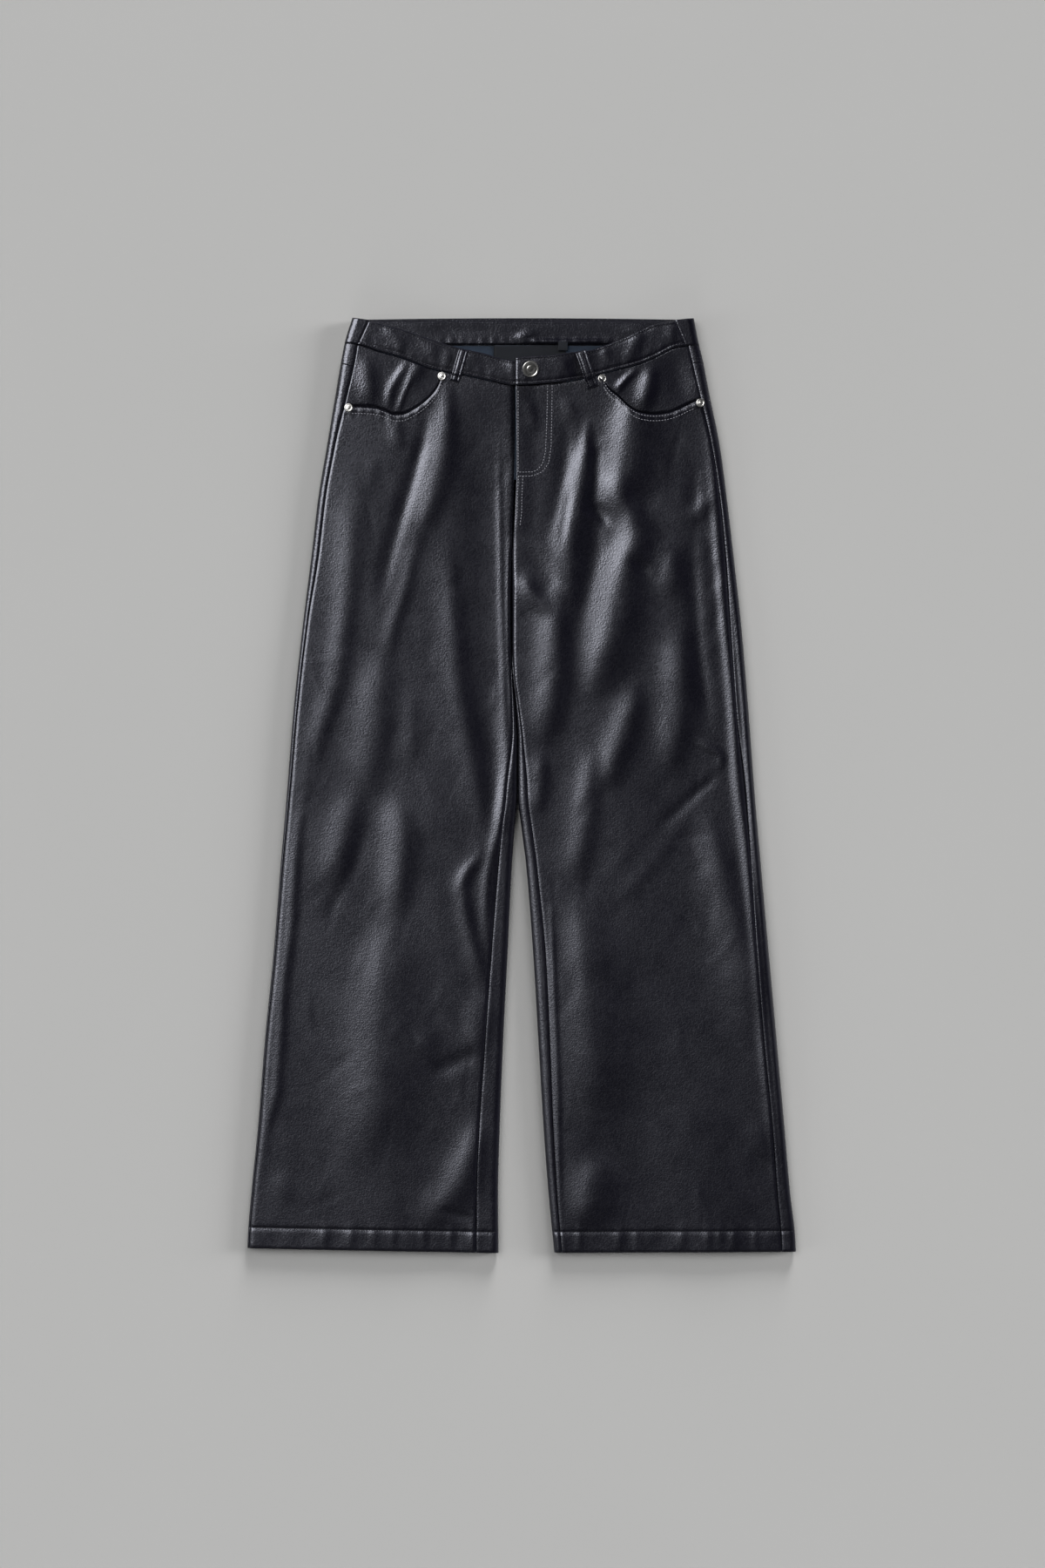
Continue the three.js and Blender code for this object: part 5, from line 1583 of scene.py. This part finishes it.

# %% [markdown]
# ## Floor
# The garment lies on a plain pale grey sheet that fills the picture. One large square with a
# nearly even matt grey does, and a very slow noise keeps it from being a single flat colour.

# %% Floor
def floor_material():
    material, nodes, links, shader, place = new_material("pale_floor")
    tone = noise(nodes, links, place, 3, 2)
    colour = two_colours(nodes, links, tone, (0.1235, 0.1225, 0.119), (0.1265, 0.1255, 0.122))
    links.new(colour, shader.inputs["Base Color"])
    shader.inputs["Roughness"].default_value = 0.9
    shader.inputs["Specular IOR Level"].default_value = 0.1
    return material


floor_bm = bmesh.new()
bmesh.ops.create_grid(floor_bm, x_segments=2, y_segments=2, size=6.0)
floor_mesh = bpy.data.meshes.new("floor")
floor_bm.to_mesh(floor_mesh)
floor_bm.free()
floor_mesh.materials.append(floor_material())
floor = bpy.data.objects.new("floor", floor_mesh)
bpy.context.scene.collection.objects.link(floor)
print("floor", *(round(size, 1) for size in floor.dimensions), "m")

# %% [markdown]
# ## Lights
# Black leather shows its form by gloss, so the lights matter more than the colour. The key is a
# broad window at the upper left, made as a sun lamp with a wide angle, and a faint wider one
# beside it lifts the flat parts. Four low lamps all round light the floor and soften the shadow
# by the legs. They are hidden from gloss, because they would draw hard lines along the side
# folds. The world glows like pale walls near the horizon and is dark overhead, so the leather has
# something to reflect from the sides and stays deep black from above.

# %% Lights
# name, direction towards the light as (x, y, z), strength, angle in degrees
SUNS = [
    ("window", (-0.56, 0.36, 0.75), 5.0, 44),
    ("wide window", (-0.34, 0.24, 0.91), 0.17, 60),
    ("low top", (0.20, 0.96, 0.20), 19.0, 20),
    ("low right", (0.96, 0.20, 0.20), 14.0, 20),
    ("low front", (-0.2, -0.96, 0.20), 3.0, 20),
    ("low left", (-0.96, -0.2, 0.20), 3.6, 20),
]
for name, towards, strength, angle in SUNS:
    lamp = bpy.data.lights.new(name, "SUN")
    lamp.energy = strength
    lamp.angle = math.radians(angle)
    lamp.color = (0.98, 0.985, 1.0)
    sun = bpy.data.objects.new(name, lamp)
    sun.rotation_euler = Vector(towards).to_track_quat("Z", "Y").to_euler()
    sun.location = Vector(towards) * 3
    sun.visible_glossy = "window" in name
    bpy.context.scene.collection.objects.link(sun)
    print(f"{name}: strength {strength}, {angle} degrees wide")

# %% The room
WALL_GLOW, CEILING_GLOW, CEILING_FROM = 0.5, 0.02, 0.7
world = bpy.data.worlds.new("studio")
world.use_nodes = True
nodes, links = world.node_tree.nodes, world.node_tree.links
around = nodes.new("ShaderNodeTexCoord")
parts = nodes.new("ShaderNodeSeparateXYZ")
links.new(around.outputs["Generated"], parts.inputs["Vector"])
glow = ramp_value(nodes, links, parts.outputs["Z"], 0.0, CEILING_FROM, WALL_GLOW, CEILING_GLOW)
nodes["Background"].inputs["Color"].default_value = (0.93, 0.95, 1.0, 1)
links.new(glow, nodes["Background"].inputs["Strength"])
bpy.context.scene.world = world
bpy.context.scene.view_settings.view_transform = "Standard"
print("walls glow", WALL_GLOW, "and the ceiling", CEILING_GLOW)

# %% [markdown]
# ## Camera
# The picture is taken from straight above. From three metres a long lens keeps the sides of the
# legs from leaning outwards. Its length follows from the height of the picture, measured where
# the top of the cloth lies.

# %% Camera
CAMERA_HEIGHT = 3.0
PICTURE_HEIGHT = 1.8
CLOTH_HEIGHT = 0.008
camera_data = bpy.data.cameras.new("overhead")
camera_data.sensor_fit = "VERTICAL"
camera_data.sensor_height = 24.0
camera_data.lens = 24.0 * (CAMERA_HEIGHT - CLOTH_HEIGHT) / PICTURE_HEIGHT
camera = bpy.data.objects.new("overhead", camera_data)
camera.location = (0.001, 0.0015, CAMERA_HEIGHT)
bpy.context.scene.collection.objects.link(camera)
bpy.context.scene.camera = camera
print("lens", round(camera_data.lens, 1), "mm")
